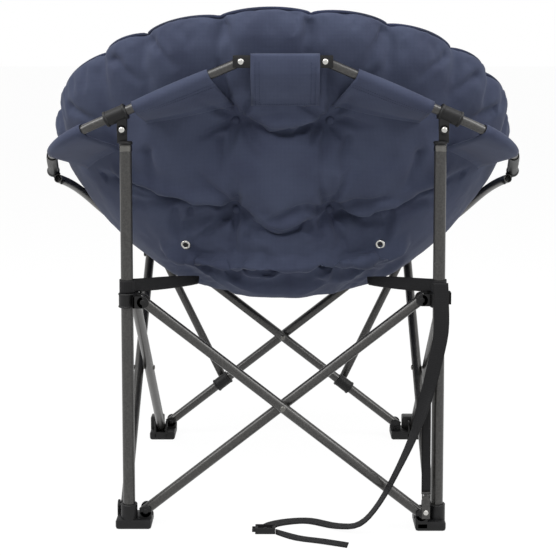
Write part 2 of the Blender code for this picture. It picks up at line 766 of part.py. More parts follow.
def pocket(name, path, inward, inside):
    """Cloth pocket round a stretch of ring tube, drawn out to a tail towards the cushion."""
    bm = bmesh.new()
    rings = []
    for index, spot in enumerate(path):
        ahead = path[min(index + 1, len(path) - 1)] - path[max(index - 1, 0)]
        ahead.normalize()
        tail = (inward - ahead * inward.dot(ahead)).normalized()
        rise = ahead.cross(tail)
        ring = []
        for turn in range(ROD_SIDES):
            angle = 2 * math.pi * turn / ROD_SIDES
            stretch = POCKET_TAIL * max(0.0, math.cos(angle)) ** 6
            radius = RING_RADIUS + SEAT_GAP + POCKET_CLOTH + stretch
            ring.append(bm.verts.new(spot + (tail * math.cos(angle) + rise * math.sin(angle)) * radius))
        rings.append(ring)
    loops = []
    for ring in rings:
        loops.append([bm.edges.new((ring[turn - 1], ring[turn])) for turn in range(ROD_SIDES)])
    for first, second in zip(loops, loops[1:]):
        bmesh.ops.bridge_loops(bm, edges=first + second)
    bm.faces.new(rings[0])
    bm.faces.new(rings[-1])
    bmesh.ops.recalc_face_normals(bm, faces=bm.faces)
    mesh = bpy.data.meshes.new(name)
    bm.to_mesh(mesh)
    bm.free()
    piece = keep(name, mesh, NAVY_CLOTH)
    bore_along(piece, inside, RING_RADIUS + SEAT_GAP)
    return piece


def flat_outline(name, outline, thickness, finish):
    """A flat outline in X and Y, raised to a thickness."""
    curve = bpy.data.curves.new(name, "CURVE")
    curve.dimensions = "2D"
    curve.fill_mode = "BOTH"
    curve.extrude = thickness / 2
    spline = curve.splines.new("POLY")
    spline.points.add(len(outline) - 1)
    for spot, (x, y) in zip(spline.points, outline):
        spot.co = (x, y, 0, 1)
    spline.use_cyclic_u = True
    draft = bpy.data.objects.new(name + "_outline", curve)
    CUTTERS.objects.link(draft)
    view = bpy.context.evaluated_depsgraph_get()
    mesh = bpy.data.meshes.new_from_object(draft.evaluated_get(view))
    bpy.data.objects.remove(draft)
    bm = bmesh.new()
    bm.from_mesh(mesh)
    bmesh.ops.remove_doubles(bm, verts=bm.verts, dist=0.00001)
    bmesh.ops.recalc_face_normals(bm, faces=bm.faces)
    bm.to_mesh(mesh)
    bm.free()
    return keep(name, mesh, finish)


def hub_flap(name):
    """Stitched cloth flap that wraps the ring's hub: behind it, over it and towards the cushion."""
    depth = RING_RADIUS + HUB_GAP + CHEEK + SEAT_GAP
    tall = HUB_HEIGHT / 2 + SEAT_GAP
    inner = [(-depth, -FLAP_DROP), (-depth, tall), (depth, tall)]
    back = -depth - FLAP_CLOTH
    outer = [(depth, tall + FLAP_CLOTH), (back, tall + FLAP_CLOTH), (back, -FLAP_DROP)]
    piece = flat_outline(name, inner + outer, 2 * FLAP_HALF, NAVY_CLOTH)
    piece.matrix_world = Matrix.Translation((0, -HUB_BACK, LEG_TOP + HUB_RISE)) @ Matrix(
        ((0, 0, 1, 0), (1, 0, 0, 0), (0, 1, 0, 0), (0, 0, 0, 1)))
    return piece


def seat_strap(name, side, surface):
    """Webbing looped round the rear leg just above the slider and sewn to the cushion."""
    height = SLIDER_LOW + SLIDER_HEIGHT + SEAT_GAP + SEAT_STRAP_HEIGHT / 2
    edges = [height + SEAT_STRAP_HEIGHT / 2 * share for share in (-1, 0, 1)]
    nearest = min(behind(surface, side * SEAT_STRAP_END_X, edge)[0].y for edge in edges)
    centre = Vector((HALF, 0))
    target = Vector((SEAT_STRAP_END_X, nearest - WEBBING - SEAT_GAP))
    for step in range(STRAP_CLOSING_STEPS):
        run = target - centre
        heading = math.atan2(run.y, run.x)
        side_step = Vector((-math.sin(heading), math.cos(heading))) * WEBBING
        ends = [Vector((spot.x * side, spot.y, edge)) for edge in edges
                for spot in (target - side_step, target, target + side_step)]
        target.y += min(surface.find_nearest(end)[3] for end in ends) - SEAT_GAP
    inner = LEG_RADIUS + SLIDE_CLEARANCE
    outer = inner + WEBBING
    opening = math.asin(WEBBING / outer)
    turns = [heading + opening + (2 * math.pi - 2 * opening) * step / 20 for step in range(21)]
    outline = [target - side_step]
    outline += [centre + Vector((math.cos(turn), math.sin(turn))) * outer for turn in reversed(turns)]
    outline += [target + side_step]
    outline = [(spot.x * side, spot.y) for spot in outline]
    piece = flat_outline(name, outline, SEAT_STRAP_HEIGHT, BLACK_WEBBING)
    piece.location.z = height
    leg = Vector((side * HALF, 0, height))
    drill(piece, leg - Z_AXIS * CUT_REACH, leg + Z_AXIS * CUT_REACH, inner, ROD_SIDES)
    return piece


def ribbon(name, stations, width, finish):
    """Flat webbing along stations of (point, sideways direction)."""
    bm = bmesh.new()
    first = stations[0][1].normalized() * width / 2
    edge = bm.edges.new([bm.verts.new(stations[0][0] + half) for half in (-first, first)])
    for point, sideways in stations[1:]:
        grown = bmesh.ops.extrude_edge_only(bm, edges=[edge])["geom"]
        edge = next(item for item in grown if isinstance(item, bmesh.types.BMEdge))
        tips = [item for item in grown if isinstance(item, bmesh.types.BMVert)]
        across = sideways.normalized()
        previous = (tips[1].co - tips[0].co).normalized()
        order = tips if previous.dot(across) > 0 else tips[::-1]
        order[0].co = point - across * width / 2
        order[1].co = point + across * width / 2
    mesh = bpy.data.meshes.new(name)
    bm.to_mesh(mesh)
    bm.free()
    piece = keep(name, mesh, finish)
    cloth = piece.modifiers.new("cloth", "SOLIDIFY")
    cloth.thickness = WEBBING
    cloth.offset = 0
    return piece


def smooth_stations(stations, steps):
    """Stations along a smooth curve through the chosen ones."""
    result = []
    last = len(stations) - 1
    for index in range(last):
        before = stations[max(index - 1, 0)]
        first = stations[index]
        second = stations[index + 1]
        after = stations[min(index + 2, last)]
        for step in range(steps):
            share = step / steps
            point = interpolate_bezier(first[0], first[0] + (second[0] - before[0]) / 6,
                                       second[0] - (after[0] - first[0]) / 6, second[0], steps + 1)[step]
            result.append((Vector(point), first[1].lerp(second[1], share)))
    result.append(stations[last])
    return result


# Route of the carry strap: points and the way its width lies, from the leg loop to the buckle
CARRY_ROUTE = [
    (Vector((0.2810, -0.0166, 0.4540)), Vector((1.00, 0.00, 0.00))),
    (Vector((0.2820, -0.0180, 0.4280)), Vector((1.00, 0.00, 0.00))),
    (Vector((0.2820, -0.0225, 0.3650)), Vector((1.00, -0.10, 0.06))),
    (Vector((0.2680, -0.0245, 0.2960)), Vector((0.99, 0.00, 0.14))),
    (Vector((0.2580, -0.0250, 0.2560)), Vector((0.97, -0.10, 0.22))),
    (Vector((0.2360, -0.0330, 0.1880)), Vector((0.45, -0.86, 0.20))),
    (Vector((0.2080, -0.0400, 0.1270)), Vector((0.22, -0.96, 0.12))),
    (Vector((0.1720, -0.0420, 0.0600)), Vector((0.10, -0.98, 0.08))),
    (Vector((0.1380, -0.0340, 0.0190)), Vector((0.02, -1.00, 0.05))),
    (Vector((0.0980, -0.0080, 0.0050)), Vector((-0.30, -0.95, 0.02))),
    (Vector((0.0500, 0.0260, 0.0016)), Vector((-0.30, -0.95, 0.00))),
    (Vector((0.0120, 0.0240, 0.0014)), Vector((0.25, -0.97, 0.00))),
    (Vector((-0.0200, 0.0080, 0.0014)), Vector((0.80, -0.60, 0.00))),
    (Vector((-0.0310, -0.0146, 0.0014)), Vector((1.00, 0.00, 0.00))),
]
BUCKLE_CENTRE = Vector((-0.0320, -0.0260, 0.0060))
BUCKLE_HALF = Vector((0.0180, 0.0110, 0.0056))
TAIL_ROUTE = [
    (Vector((-0.0136, -0.0262, 0.0014)), Vector((0.00, -1.00, 0.00))),
    (Vector((0.0250, -0.0560, 0.0014)), Vector((-0.45, -0.89, 0.00))),
    (Vector((0.0700, -0.0760, 0.0030)), Vector((-0.35, -0.94, 0.00))),
    (Vector((0.1140, -0.0900, 0.0014)), Vector((-0.20, -0.98, 0.00))),
]


def buckle(name):
    """Plastic ladder buckle lying on the floor, with its two slots."""
    low = BUCKLE_CENTRE - BUCKLE_HALF
    high = BUCKLE_CENTRE + BUCKLE_HALF
    piece = fuse(name, [block([low, high])], BLACK_PLASTIC)
    slot = Vector((BUCKLE_HALF.x * 0.16, BUCKLE_HALF.y * 0.72, BUCKLE_HALF.z * 2))
    for share in (-0.5, 0.5):
        middle = BUCKLE_CENTRE + X_AXIS * BUCKLE_HALF.x * share
        combine(piece, block([middle - slot, middle + slot]), "DIFFERENCE")
    return piece


def foot_tab(name):
    """Steel tab on the right rear foot that the lower strap is sewn through."""
    lateral = corner_pivots(1, False, False)[0]
    back = lateral.y - (BRACE_RADIUS + SIDE_GAP + CHEEK + SEAT_GAP)
    low = Vector((LATERAL_X, back - TAB_SHEET, LOW - CHEEK_RADIUS / 2))
    high = Vector((LATERAL_X + TAB_WIDTH, back, LOW + FOOT_HEIGHT))
    piece = fuse(name, [block([low, high])], BRIGHT_STEEL)
    slot = Vector((TAB_WIDTH * 0.36, TAB_SHEET * 2, TAB_SHEET))
    middle = Vector(((low.x + high.x) / 2, back, high.z - TAB_SHEET * 3))
    combine(piece, block([middle - slot, middle + slot]), "DIFFERENCE")
    return piece


def foot_strap(name):
    """Lower webbing from the foot tab up to the carry strap it is sewn to."""
    lateral = corner_pivots(1, False, False)[0]
    back = lateral.y - (BRACE_RADIUS + SIDE_GAP + CHEEK + SEAT_GAP)
    x = LATERAL_X + TAB_WIDTH / 2
    low = Vector((x, back + WEBBING / 2 + SEAT_GAP, LOW + FOOT_HEIGHT - TAB_SHEET))
    sewn = CARRY_ROUTE[4][0]
    high = Vector((x, sewn.y + WEBBING + STRAP_LAP, sewn.z))
    stations = [(low, X_AXIS), ((low + high) / 2, X_AXIS), (high, X_AXIS)]
    return ribbon(name, stations, FOOT_STRAP_WIDTH, BLACK_WEBBING)


def build_frame():
    """Legs, feet, scissors, sliders and front corners, each hung on its joint."""
    pieces = {}
    for title, side in SIDES.items():
        base = Vector((side * HALF, 0, FLOOR_WEB + SEAT_GAP))
        top = Vector((base.x, 0, LEG_TOP))
        pieces[title + "_rear_leg"] = tube(title + "_rear_leg", [base, top], LEG_RADIUS, GUNMETAL)
        pieces[title + "_leg_cap"] = leg_cap(title + "_leg_cap", side)
        pivot = arm_geometry(side)[0]
        ears = TONGUE_HALF + SIDE_GAP + CHEEK
        pieces[title + "_leg_rivet"] = rivet(title + "_leg_rivet", pivot, Y_AXIS, ears)
        for front in (False, True):
            where = "front" if front else "rear"
            pieces[f"{title}_{where}_foot"] = foot(f"{title}_{where}_foot", side, front)
            upper = "corner" if front else "slider"
            pieces[f"{title}_{upper}"] = upper_corner(f"{title}_{upper}", side, front)
        rear_low = corner_pivots(side, False, False)[1]
        front_high = corner_pivots(side, True, True)[1]
        front_low = corner_pivots(side, True, False)[1]
        rear_high = corner_pivots(side, False, True)[1]
        pieces[title + "_side_brace_rear"] = brace(title + "_side_brace_rear", rear_low, front_high, X_AXIS)
        pieces[title + "_side_brace_front"] = brace(title + "_side_brace_front", front_low, rear_high, X_AXIS)
        middle = Vector((side * HALF, (rear_low.y + front_high.y) / 2, (LOW + HIGH) / 2))
        pieces[title + "_side_rivet"] = rivet(title + "_side_rivet", middle, X_AXIS, SCISSOR_GRIP)
        pieces[title + "_strut_clip"] = strut_clip(title + "_strut_clip", side)
        pieces[title + "_front_strut"] = front_strut(title + "_front_strut", side)
    for front in (False, True):
        where = "front" if front else "rear"
        for title, side in SIDES.items():
            low = corner_pivots(side, front, False)[0]
            high = corner_pivots(-side, front, True)[0]
            pieces[f"{where}_brace_{title}"] = brace(f"{where}_brace_{title}", low, high, Y_AXIS)
        middle = Vector((0, FRONT if front else 0, (LOW + HIGH) / 2))
        pieces[where + "_rivet"] = rivet(where + "_rivet", middle, Y_AXIS, SCISSOR_GRIP)
    return pieces


def build_ring():
    """Hub, arms, collars, knuckles and front rails of the ring."""
    pieces = {"ring_hub": ring_hub("ring_hub"), "hub_flap": hub_flap("hub_flap")}
    for title, side in SIDES.items():
        hub_pin = arm_geometry(side)[1]
        pieces[title + "_arm"] = ring_arm(title + "_arm", side)
        pieces[title + "_arm_collar"] = arm_collar(title + "_arm_collar", side)
        pieces[title + "_knuckle"] = ring_knuckle(title + "_knuckle", side)
        pieces[title + "_front_rail"] = ring_rail(title + "_front_rail", side)
        cheeks = RING_RADIUS + HUB_GAP + CHEEK
        pieces[title + "_hub_rivet"] = rivet(title + "_hub_rivet", hub_pin, Y_AXIS, cheeks)
    return pieces


def build_soft(surface):
    """Buttons, eyelets, pockets and webbing."""
    pieces = {}
    for title, side in SIDES.items():
        for level, height in zip(("lower", "upper"), TUFT_HEIGHTS):
            name = f"{title}_{level}_button"
            pieces[name] = button(name, surface, side * TUFT_HALF_SPACING, height)
        pieces[title + "_grommet"] = grommet(title + "_grommet", surface, side)
        pieces[title + "_seat_strap"] = seat_strap(title + "_seat_strap", side, surface)
        pivot, hub_pin, along, collar, knuckle = arm_geometry(side)
        path = arm_path(side)
        inner = [hub_pin + along * (collar - hub_pin).length * share for share in BACK_POCKET_SHARES]
        pieces[title + "_back_pocket"] = pocket(title + "_back_pocket", inner, BACK_POCKET_TAIL, path)
        tail = heading(ARM_POCKET_TAIL, side)
        pieces[title + "_arm_pocket"] = pocket(title + "_arm_pocket", path[3:10:2], tail, path)
    tail_width = CARRY_WIDTH * TAIL_SHARE
    pieces["carry_strap"] = ribbon("carry_strap", smooth_stations(CARRY_ROUTE, 2), CARRY_WIDTH, BLACK_WEBBING)
    pieces["strap_buckle"] = buckle("strap_buckle")
    pieces["strap_tail"] = ribbon("strap_tail", smooth_stations(TAIL_ROUTE, 3), tail_width, BLACK_WEBBING)
    pieces["foot_tab"] = foot_tab("foot_tab")
    pieces["foot_strap"] = foot_strap("foot_strap")
    return pieces


def hang_joints(pieces):
    """Parent each moving piece to an empty on its own joint axis."""

    def pick(*names):
        return [pieces[name] for name in names]

    rear_low = corner_pivots(-1, False, False)
    fold = carry("fold", rear_low[0], pick("rear_brace_left", "rear_rivet"))
    middle = Vector((0, 0, (LOW + HIGH) / 2))
    other = carry("rear_cross", middle, pick("rear_brace_right"), fold)
    right_leg = pick("right_rear_leg", "right_leg_cap", "right_leg_rivet", "right_rear_foot",
                     "foot_tab", "foot_strap")
    legs = {-1: None, 1: carry("right_leg_joint", corner_pivots(1, False, False)[0], right_leg, other)}
    loose = {-1: [], 1: pick("carry_strap", "strap_buckle", "strap_tail")}
    for title, side in SIDES.items():
        slider_parent = other if side < 0 else fold
        slider = pick(title + "_slider", title + "_seat_strap") + loose[side]
        carry(title + "_slider_joint", corner_pivots(side, False, True)[0], slider, slider_parent)
        rear_footed = carry(title + "_side_rear_joint", corner_pivots(side, False, False)[1],
                            pick(title + "_side_brace_rear", title + "_side_rivet"), legs[side])
        crossing = Vector((side * HALF, FRONT / 2, middle.z))
        front_footed = carry(title + "_side_cross", crossing, pick(title + "_side_brace_front"), rear_footed)
        carry(title + "_corner_joint", corner_pivots(side, True, True)[1],
              pick(title + "_corner"), rear_footed)
        front_foot = carry(title + "_front_foot_joint", corner_pivots(side, True, False)[1],
                           pick(title + "_front_foot"), front_footed)
        if side < 0:
            front_left = carry("front_left_joint", corner_pivots(side, True, False)[0],
                               pick("front_brace_left", "front_rivet", "left_strut_clip"), front_foot)
            front_right = carry("front_cross", Vector((0, FRONT, middle.z)),
                                pick("front_brace_right", "right_strut_clip"), front_left)
        strut_parent = front_left if side < 0 else front_right
        carry(title + "_strut_joint", strut_ends(side)[0], pick(title + "_front_strut"), strut_parent)
        pivot, hub_pin = arm_geometry(side)[:2]
        ring = [title + "_" + end for end in ("arm", "arm_collar", "knuckle", "back_pocket", "arm_pocket")]
        if side > 0:
            ring.append("right_hub_rivet")
        arm = carry(title + "_arm_joint", pivot, pick(*ring), legs[side])
        carry(title + "_rail_joint", knuckle_centre(side), pick(title + "_front_rail"), arm)
        if side < 0:
            tufts = [name for name in pieces if name.endswith(("_button", "_grommet"))]
            carry("hub_joint", hub_pin,
                  pick("ring_hub", "hub_flap", "left_hub_rivet", "cushion", *tufts), arm)


def centre_on_floor(pieces):
    """Slide the whole model so that the origin is midway front to back, leaving out the loose strap."""
    view = bpy.context.evaluated_depsgraph_get()
    depths = []
    for name, piece in pieces.items():
        if name not in LOOSE_STRAP:
            shape = piece.evaluated_get(view)
            depths += [(shape.matrix_world @ Vector(corner)).y for corner in shape.bound_box]
    origin = bpy.data.objects.new("floor_centre", None)
    for thing in list(PARTS.objects) + list(CUTTERS.objects):
        if thing.parent is None:
            thing.parent = origin
    PARTS.objects.link(origin)
    origin.location.y = -(min(depths) + max(depths)) / 2


def main():
    """Build every piece, hang it on its joint and centre the chair on the floor."""
    pad, surface = cushion("cushion")
    pieces = {"cushion": pad}
    pieces.update(build_frame())
    pieces.update(build_ring())
    pieces.update(build_soft(surface))
    hang_joints(pieces)
    centre_on_floor(pieces)


main()
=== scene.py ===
"""Looks of a padded round camp chair on a folding tube frame, seen from straight behind.

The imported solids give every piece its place. This script dresses them: hammered paint on the tubes,
moulded black corners, a simulated bowl cushion with its covers and stitching, and ribbed webbing.
"""
from __future__ import annotations

import json
import logging
import math
from dataclasses import dataclass
from enum import Enum
from typing import Any, Sequence

import bmesh
import bpy
from mathutils import Matrix, Vector, noise
from mathutils.bvhtree import BVHTree
from mathutils.geometry import interpolate_bezier, intersect_point_line

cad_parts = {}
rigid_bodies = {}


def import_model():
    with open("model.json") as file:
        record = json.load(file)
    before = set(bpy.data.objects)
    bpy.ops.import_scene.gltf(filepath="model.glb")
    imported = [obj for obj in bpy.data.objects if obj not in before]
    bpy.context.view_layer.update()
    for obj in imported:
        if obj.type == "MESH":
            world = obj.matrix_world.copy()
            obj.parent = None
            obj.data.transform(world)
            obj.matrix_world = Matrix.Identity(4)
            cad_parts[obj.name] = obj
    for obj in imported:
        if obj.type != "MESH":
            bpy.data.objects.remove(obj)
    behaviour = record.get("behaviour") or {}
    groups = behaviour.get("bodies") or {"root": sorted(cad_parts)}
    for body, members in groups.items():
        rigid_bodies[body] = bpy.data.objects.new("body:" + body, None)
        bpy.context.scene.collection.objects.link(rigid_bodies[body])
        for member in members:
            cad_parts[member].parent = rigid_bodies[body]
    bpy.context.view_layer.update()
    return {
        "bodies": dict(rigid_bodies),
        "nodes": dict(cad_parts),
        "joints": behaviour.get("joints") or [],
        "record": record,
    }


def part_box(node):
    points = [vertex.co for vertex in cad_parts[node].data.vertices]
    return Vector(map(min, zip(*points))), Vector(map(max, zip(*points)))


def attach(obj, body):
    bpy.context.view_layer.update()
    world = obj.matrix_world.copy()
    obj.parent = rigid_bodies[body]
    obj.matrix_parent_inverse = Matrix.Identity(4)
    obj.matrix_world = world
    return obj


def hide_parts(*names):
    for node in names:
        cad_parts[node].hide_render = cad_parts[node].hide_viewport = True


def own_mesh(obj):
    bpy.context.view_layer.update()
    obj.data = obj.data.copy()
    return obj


LOG = logging.getLogger("camp_chair")
SIDES = {"left": -1, "right": 1}
FACES = (-1, 1)
X_AXIS = Vector((1, 0, 0))
Y_AXIS = Vector((0, 1, 0))
Z_AXIS = Vector((0, 0, 1))
MM = 0.001
FULL_TURN = 2 * math.pi
MERGE_GAP = 0.00001  # points nearer than this are one point
RIM_EDGE = 0.0009  # softened rim of a sleeve
BORE_TAPER = 0.1  # share of its wall by which a tube's open end narrows inside
FOLD_TAPER = 0.8  # how a fold of the cover runs out: 1 would be evenly
OVERLAP_FADE = 0.03  # an overlap flattens over this length at its two ends
# Lip, groove and hollow of an overlap: height, place above the fold and width.
OVERLAP_SHAPE = ((0.010, 0.015, 0.012), (-0.015, -0.002, 0.0058), (-0.006, -0.014, 0.012))

Mesh = bmesh.types.BMesh
Piece = bpy.types.Object
Socket = bpy.types.NodeSocket
Pair = tuple[float, float]
Triple = tuple[float, float, float]


class Slot(str, Enum):
    """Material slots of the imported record."""

    CLOTH = "padded_cloth"
    TUBE = "gunmetal_tube"
    PLASTIC = "black_plastic"
    STEEL = "bright_steel"
    WEBBING = "black_webbing"


def linear(shade: str) -> tuple[float, float, float, float]:
    """Turn an sRGB colour of six hex digits to linear red, green, blue and alpha.

    Args:
        shade: sRGB colour as six hex digits.

    Returns:
        Linear colour with alpha.
    """
    values = [int(shade[place:place + 2], 16) / 255 for place in (0, 2, 4)]
    red, green, blue = [v / 12.92 if v <= 0.04045 else ((v + 0.055) / 1.055) ** 2.4 for v in values]
    return red, green, blue, 1.0


def feed(tree: bpy.types.NodeTree, node: bpy.types.Node, inputs: dict[Any, Any]) -> None:
    """Set or link a node's inputs.

    Args:
        tree: node tree that has it.
        node: node that is fed.
        inputs: socket name or number to a value, or to the output that feeds it.
    """
    for socket, value in inputs.items():
        if isinstance(value, Socket):
            tree.links.new(value, node.inputs[socket])
        else:
            node.inputs[socket].default_value = value


def add_node(tree: bpy.types.NodeTree, kind: str, inputs: dict[Any, Any] | None = None,
             **settings: Any) -> bpy.types.Node:
    """Add a node.

    Args:
        tree: node tree that gets the node.
        kind: node type name without its common prefix.
        inputs: socket name or number to a value, or to the output that feeds it.
        settings: node properties.

    Returns:
        The new node.
    """
    node = tree.nodes.new("ShaderNode" + kind)
    for name, value in settings.items():
        setattr(node, name, value)
    feed(tree, node, inputs or {})
    return node


def blank_material(name: str) -> tuple[bpy.types.Material, bpy.types.NodeTree, bpy.types.Node]:
    """Start a material.

    Args:
        name: the material's name.

    Returns:
        The material, its node tree and its Principled shader.
    """
    material = bpy.data.materials.new(name)
    material.use_nodes = True
    return material, material.node_tree, material.node_tree.nodes["Principled BSDF"]


def seen_directly(tree: bpy.types.NodeTree) -> Socket:
    """1 for what the camera or a glossy surface sees, 0 for other light.

    Args:
        tree: node tree that gets the nodes.

    Returns:
        The output that says so.
    """
    rays = add_node(tree, "LightPath").outputs
    seen = {0: rays["Is Camera Ray"], 1: rays["Is Glossy Ray"]}
    return add_node(tree, "Math", seen, operation="MAXIMUM").outputs[0]


@dataclass(frozen=True)
class WovenCloth:
    """Plain-woven polyester, dyed in the piece: matte, with a faint soft sheen and a fine thread grid."""

    name: str
    shade: str
    light: str
    thread_mm: float = 2.4  # real threads are near 0.5 mm, drawn coarser so that they show
    wave_period: float = 0.314  # metres between the bands of a wave of scale 1
    cloud_mm: float = 70.0
    cloud_range: Pair = (0.32, 0.70)
    crease_mm: float = 26.0
    crease_height_mm: float = 4.0
    crease_bump: float = 0.22
    weave_height_mm: float = 0.4
    weave_bump: float = 0.25
    weave_share: float = 0.16
    roughness: Pair = (0.74, 0.90)

    def material(self) -> bpy.types.Material:
        """Build the cloth's material.

        Returns:
            The material.
        """
        material, tree, shader = blank_material(self.name)
        place = add_node(tree, "TexCoord").outputs["Object"]
        cloud = add_node(tree, "TexNoise", {
            "Vector": place, "Scale": 1 / (self.cloud_mm * MM), "Detail": 4.0}).outputs["Fac"]
        crease = add_node(tree, "TexNoise", {
            "Vector": place, "Scale": 1 / (self.crease_mm * MM), "Detail": 3.0, "Distortion": 0.6})
        threads = [add_node(tree, "TexWave", {
            "Vector": place, "Scale": self.wave_period / (self.thread_mm * MM), "Distortion": 0.4},
            bands_direction=way).outputs["Fac"] for way in ("X", "Z")]
        grid = add_node(tree, "Math", dict(enumerate(threads)), operation="MULTIPLY").outputs["Value"]
        tone = add_node(tree, "MapRange", {
            "Value": cloud, "From Min": self.cloud_range[0], "From Max": self.cloud_range[1]})
        colour = add_node(tree, "Mix", {
            0: tone.outputs["Result"], 6: linear(self.shade), 7: linear(self.light)}, data_type="RGBA")
        weave = add_node(tree, "Mix", {
            0: self.weave_share, 6: colour.outputs[2], 7: grid}, data_type="RGBA", blend_type="OVERLAY")
        fold = add_node(tree, "Bump", {
            "Height": crease.outputs["Fac"], "Strength": self.crease_bump,
            "Distance": self.crease_height_mm * MM})
        bump = add_node(tree, "Bump", {
            "Height": grid, "Strength": self.weave_bump, "Distance": self.weave_height_mm * MM,
            "Normal": fold.outputs["Normal"]})
        rough = add_node(tree, "MapRange", {
            "Value": cloud, "To Min": self.roughness[0], "To Max": self.roughness[1]})
        feed(tree, shader, {
            "Base Color": weave.outputs[2], "Normal": bump.outputs["Normal"],
            "Roughness": rough.outputs["Result"], "Sheen Weight": 0.05, "Sheen Roughness": 0.45,
            "Specular IOR Level": 0.25})
        return material


@dataclass(frozen=True)
class HammeredPaint:
    """Hammered powder coat on steel tube: small shiny dimples over a dark warm grey."""

    name: str
    dark: str
    light: str
    dimple_mm: float = 3.2  # real dimples are near 1.5 mm, drawn coarser so that they show
    dimple_depth_mm: float = 0.5
    dimple_bump: float = 0.05
    grime_mm: float = 45.0
    roughness: Pair = (0.24, 0.34)

    def material(self) -> bpy.types.Material:
        """Build the paint's material.

        Returns:
            The material.
        """
        material, tree, shader = blank_material(self.name)
        place = add_node(tree, "TexCoord").outputs["Object"]
        cells = add_node(tree, "TexVoronoi", {
            "Vector": place, "Scale": 1 / (self.dimple_mm * MM), "Smoothness": 0.8},
            feature="SMOOTH_F1").outputs["Distance"]
        grime = add_node(tree, "TexNoise", {
            "Vector": place, "Scale": 1 / (self.grime_mm * MM), "Detail": 5.0})
        colour = add_node(tree, "Mix", {
            0: cells, 6: linear(self.dark), 7: linear(self.light)}, data_type="RGBA")
        bump = add_node(tree, "Bump", {
            "Height": cells, "Strength": self.dimple_bump, "Distance": self.dimple_depth_mm * MM})
        rough = add_node(tree, "MapRange", {
            "Value": grime.outputs["Fac"], "To Min": self.roughness[0], "To Max": self.roughness[1]})
        feed(tree, shader, {
            "Base Color": colour.outputs[2], "Normal": bump.outputs["Normal"],
            "Roughness": rough.outputs["Result"], "Metallic": 0.45, "Specular IOR Level": 0.95})
        return material


@dataclass(frozen=True)
class MouldedPlastic:
    """Injection-moulded nylon: near black, fine spark-eroded grain and slightly worn lighter patches."""

    name: str
    dark: str
    worn: str
    grain_mm: float = 1.6  # real grain is near 0.2 mm, drawn coarser so that it shows
    grain_depth_mm: float = 0.3
    grain_bump: float = 0.18
    wear_mm: float = 18.0
    wear_range: Pair = (0.5, 0.8)
    roughness: Pair = (0.36, 0.58)

    def material(self) -> bpy.types.Material:
        """Build the plastic's material.

        Returns:
            The material.
        """
        material, tree, shader = blank_material(self.name)
        place = add_node(tree, "TexCoord").outputs["Object"]
        grain = add_node(tree, "TexNoise", {
            "Vector": place, "Scale": 1 / (self.grain_mm * MM), "Detail": 2.0})
        wear = add_node(tree, "TexNoise", {
            "Vector": place, "Scale": 1 / (self.wear_mm * MM), "Detail": 6.0}).outputs["Fac"]
        patch = add_node(tree, "MapRange", {
            "Value": wear, "From Min": self.wear_range[0], "From Max": self.wear_range[1]})
        colour = add_node(tree, "Mix", {
            0: patch.outputs["Result"], 6: linear(self.dark), 7: linear(self.worn)}, data_type="RGBA")
        bump = add_node(tree, "Bump", {
            "Height": grain.outputs["Fac"], "Strength": self.grain_bump,
            "Distance": self.grain_depth_mm * MM})
        rough = add_node(tree, "MapRange", {
            "Value": wear, "To Min": self.roughness[0], "To Max": self.roughness[1]})
        feed(tree, shader, {
            "Base Color": colour.outputs[2], "Normal": bump.outputs["Normal"],
            "Roughness": rough.outputs["Result"], "Specular IOR Level": 0.30})
        return material


@dataclass(frozen=True)
class BrightSteel:
    """Plated steel: bright, with hairline scuffs that vary its gloss."""

    name: str
    shade: str
    scuff_mm: float = 2.5
    scuff_depth_mm: float = 0.2
    scuff_bump: float = 0.06
    roughness: Pair = (0.14, 0.34)

    def material(self) -> bpy.types.Material:
        """Build the steel's material.

        Returns:
            The material.
        """
        material, tree, shader = blank_material(self.name)
        place = add_node(tree, "TexCoord").outputs["Object"]
        scuff = add_node(tree, "TexNoise", {
            "Vector": place, "Scale": 1 / (self.scuff_mm * MM), "Detail": 5.0,
            "Distortion": 1.5}).outputs["Fac"]
        rough = add_node(tree, "MapRange", {
            "Value": scuff, "To Min": self.roughness[0], "To Max": self.roughness[1]})
        bump = add_node(tree, "Bump", {
            "Height": scuff, "Strength": self.scuff_bump, "Distance": self.scuff_depth_mm * MM})
        feed(tree, shader, {
            "Base Color": linear(self.shade), "Normal": bump.outputs["Normal"],
            "Roughness": rough.outputs["Result"], "Metallic": 1.0})
        return material


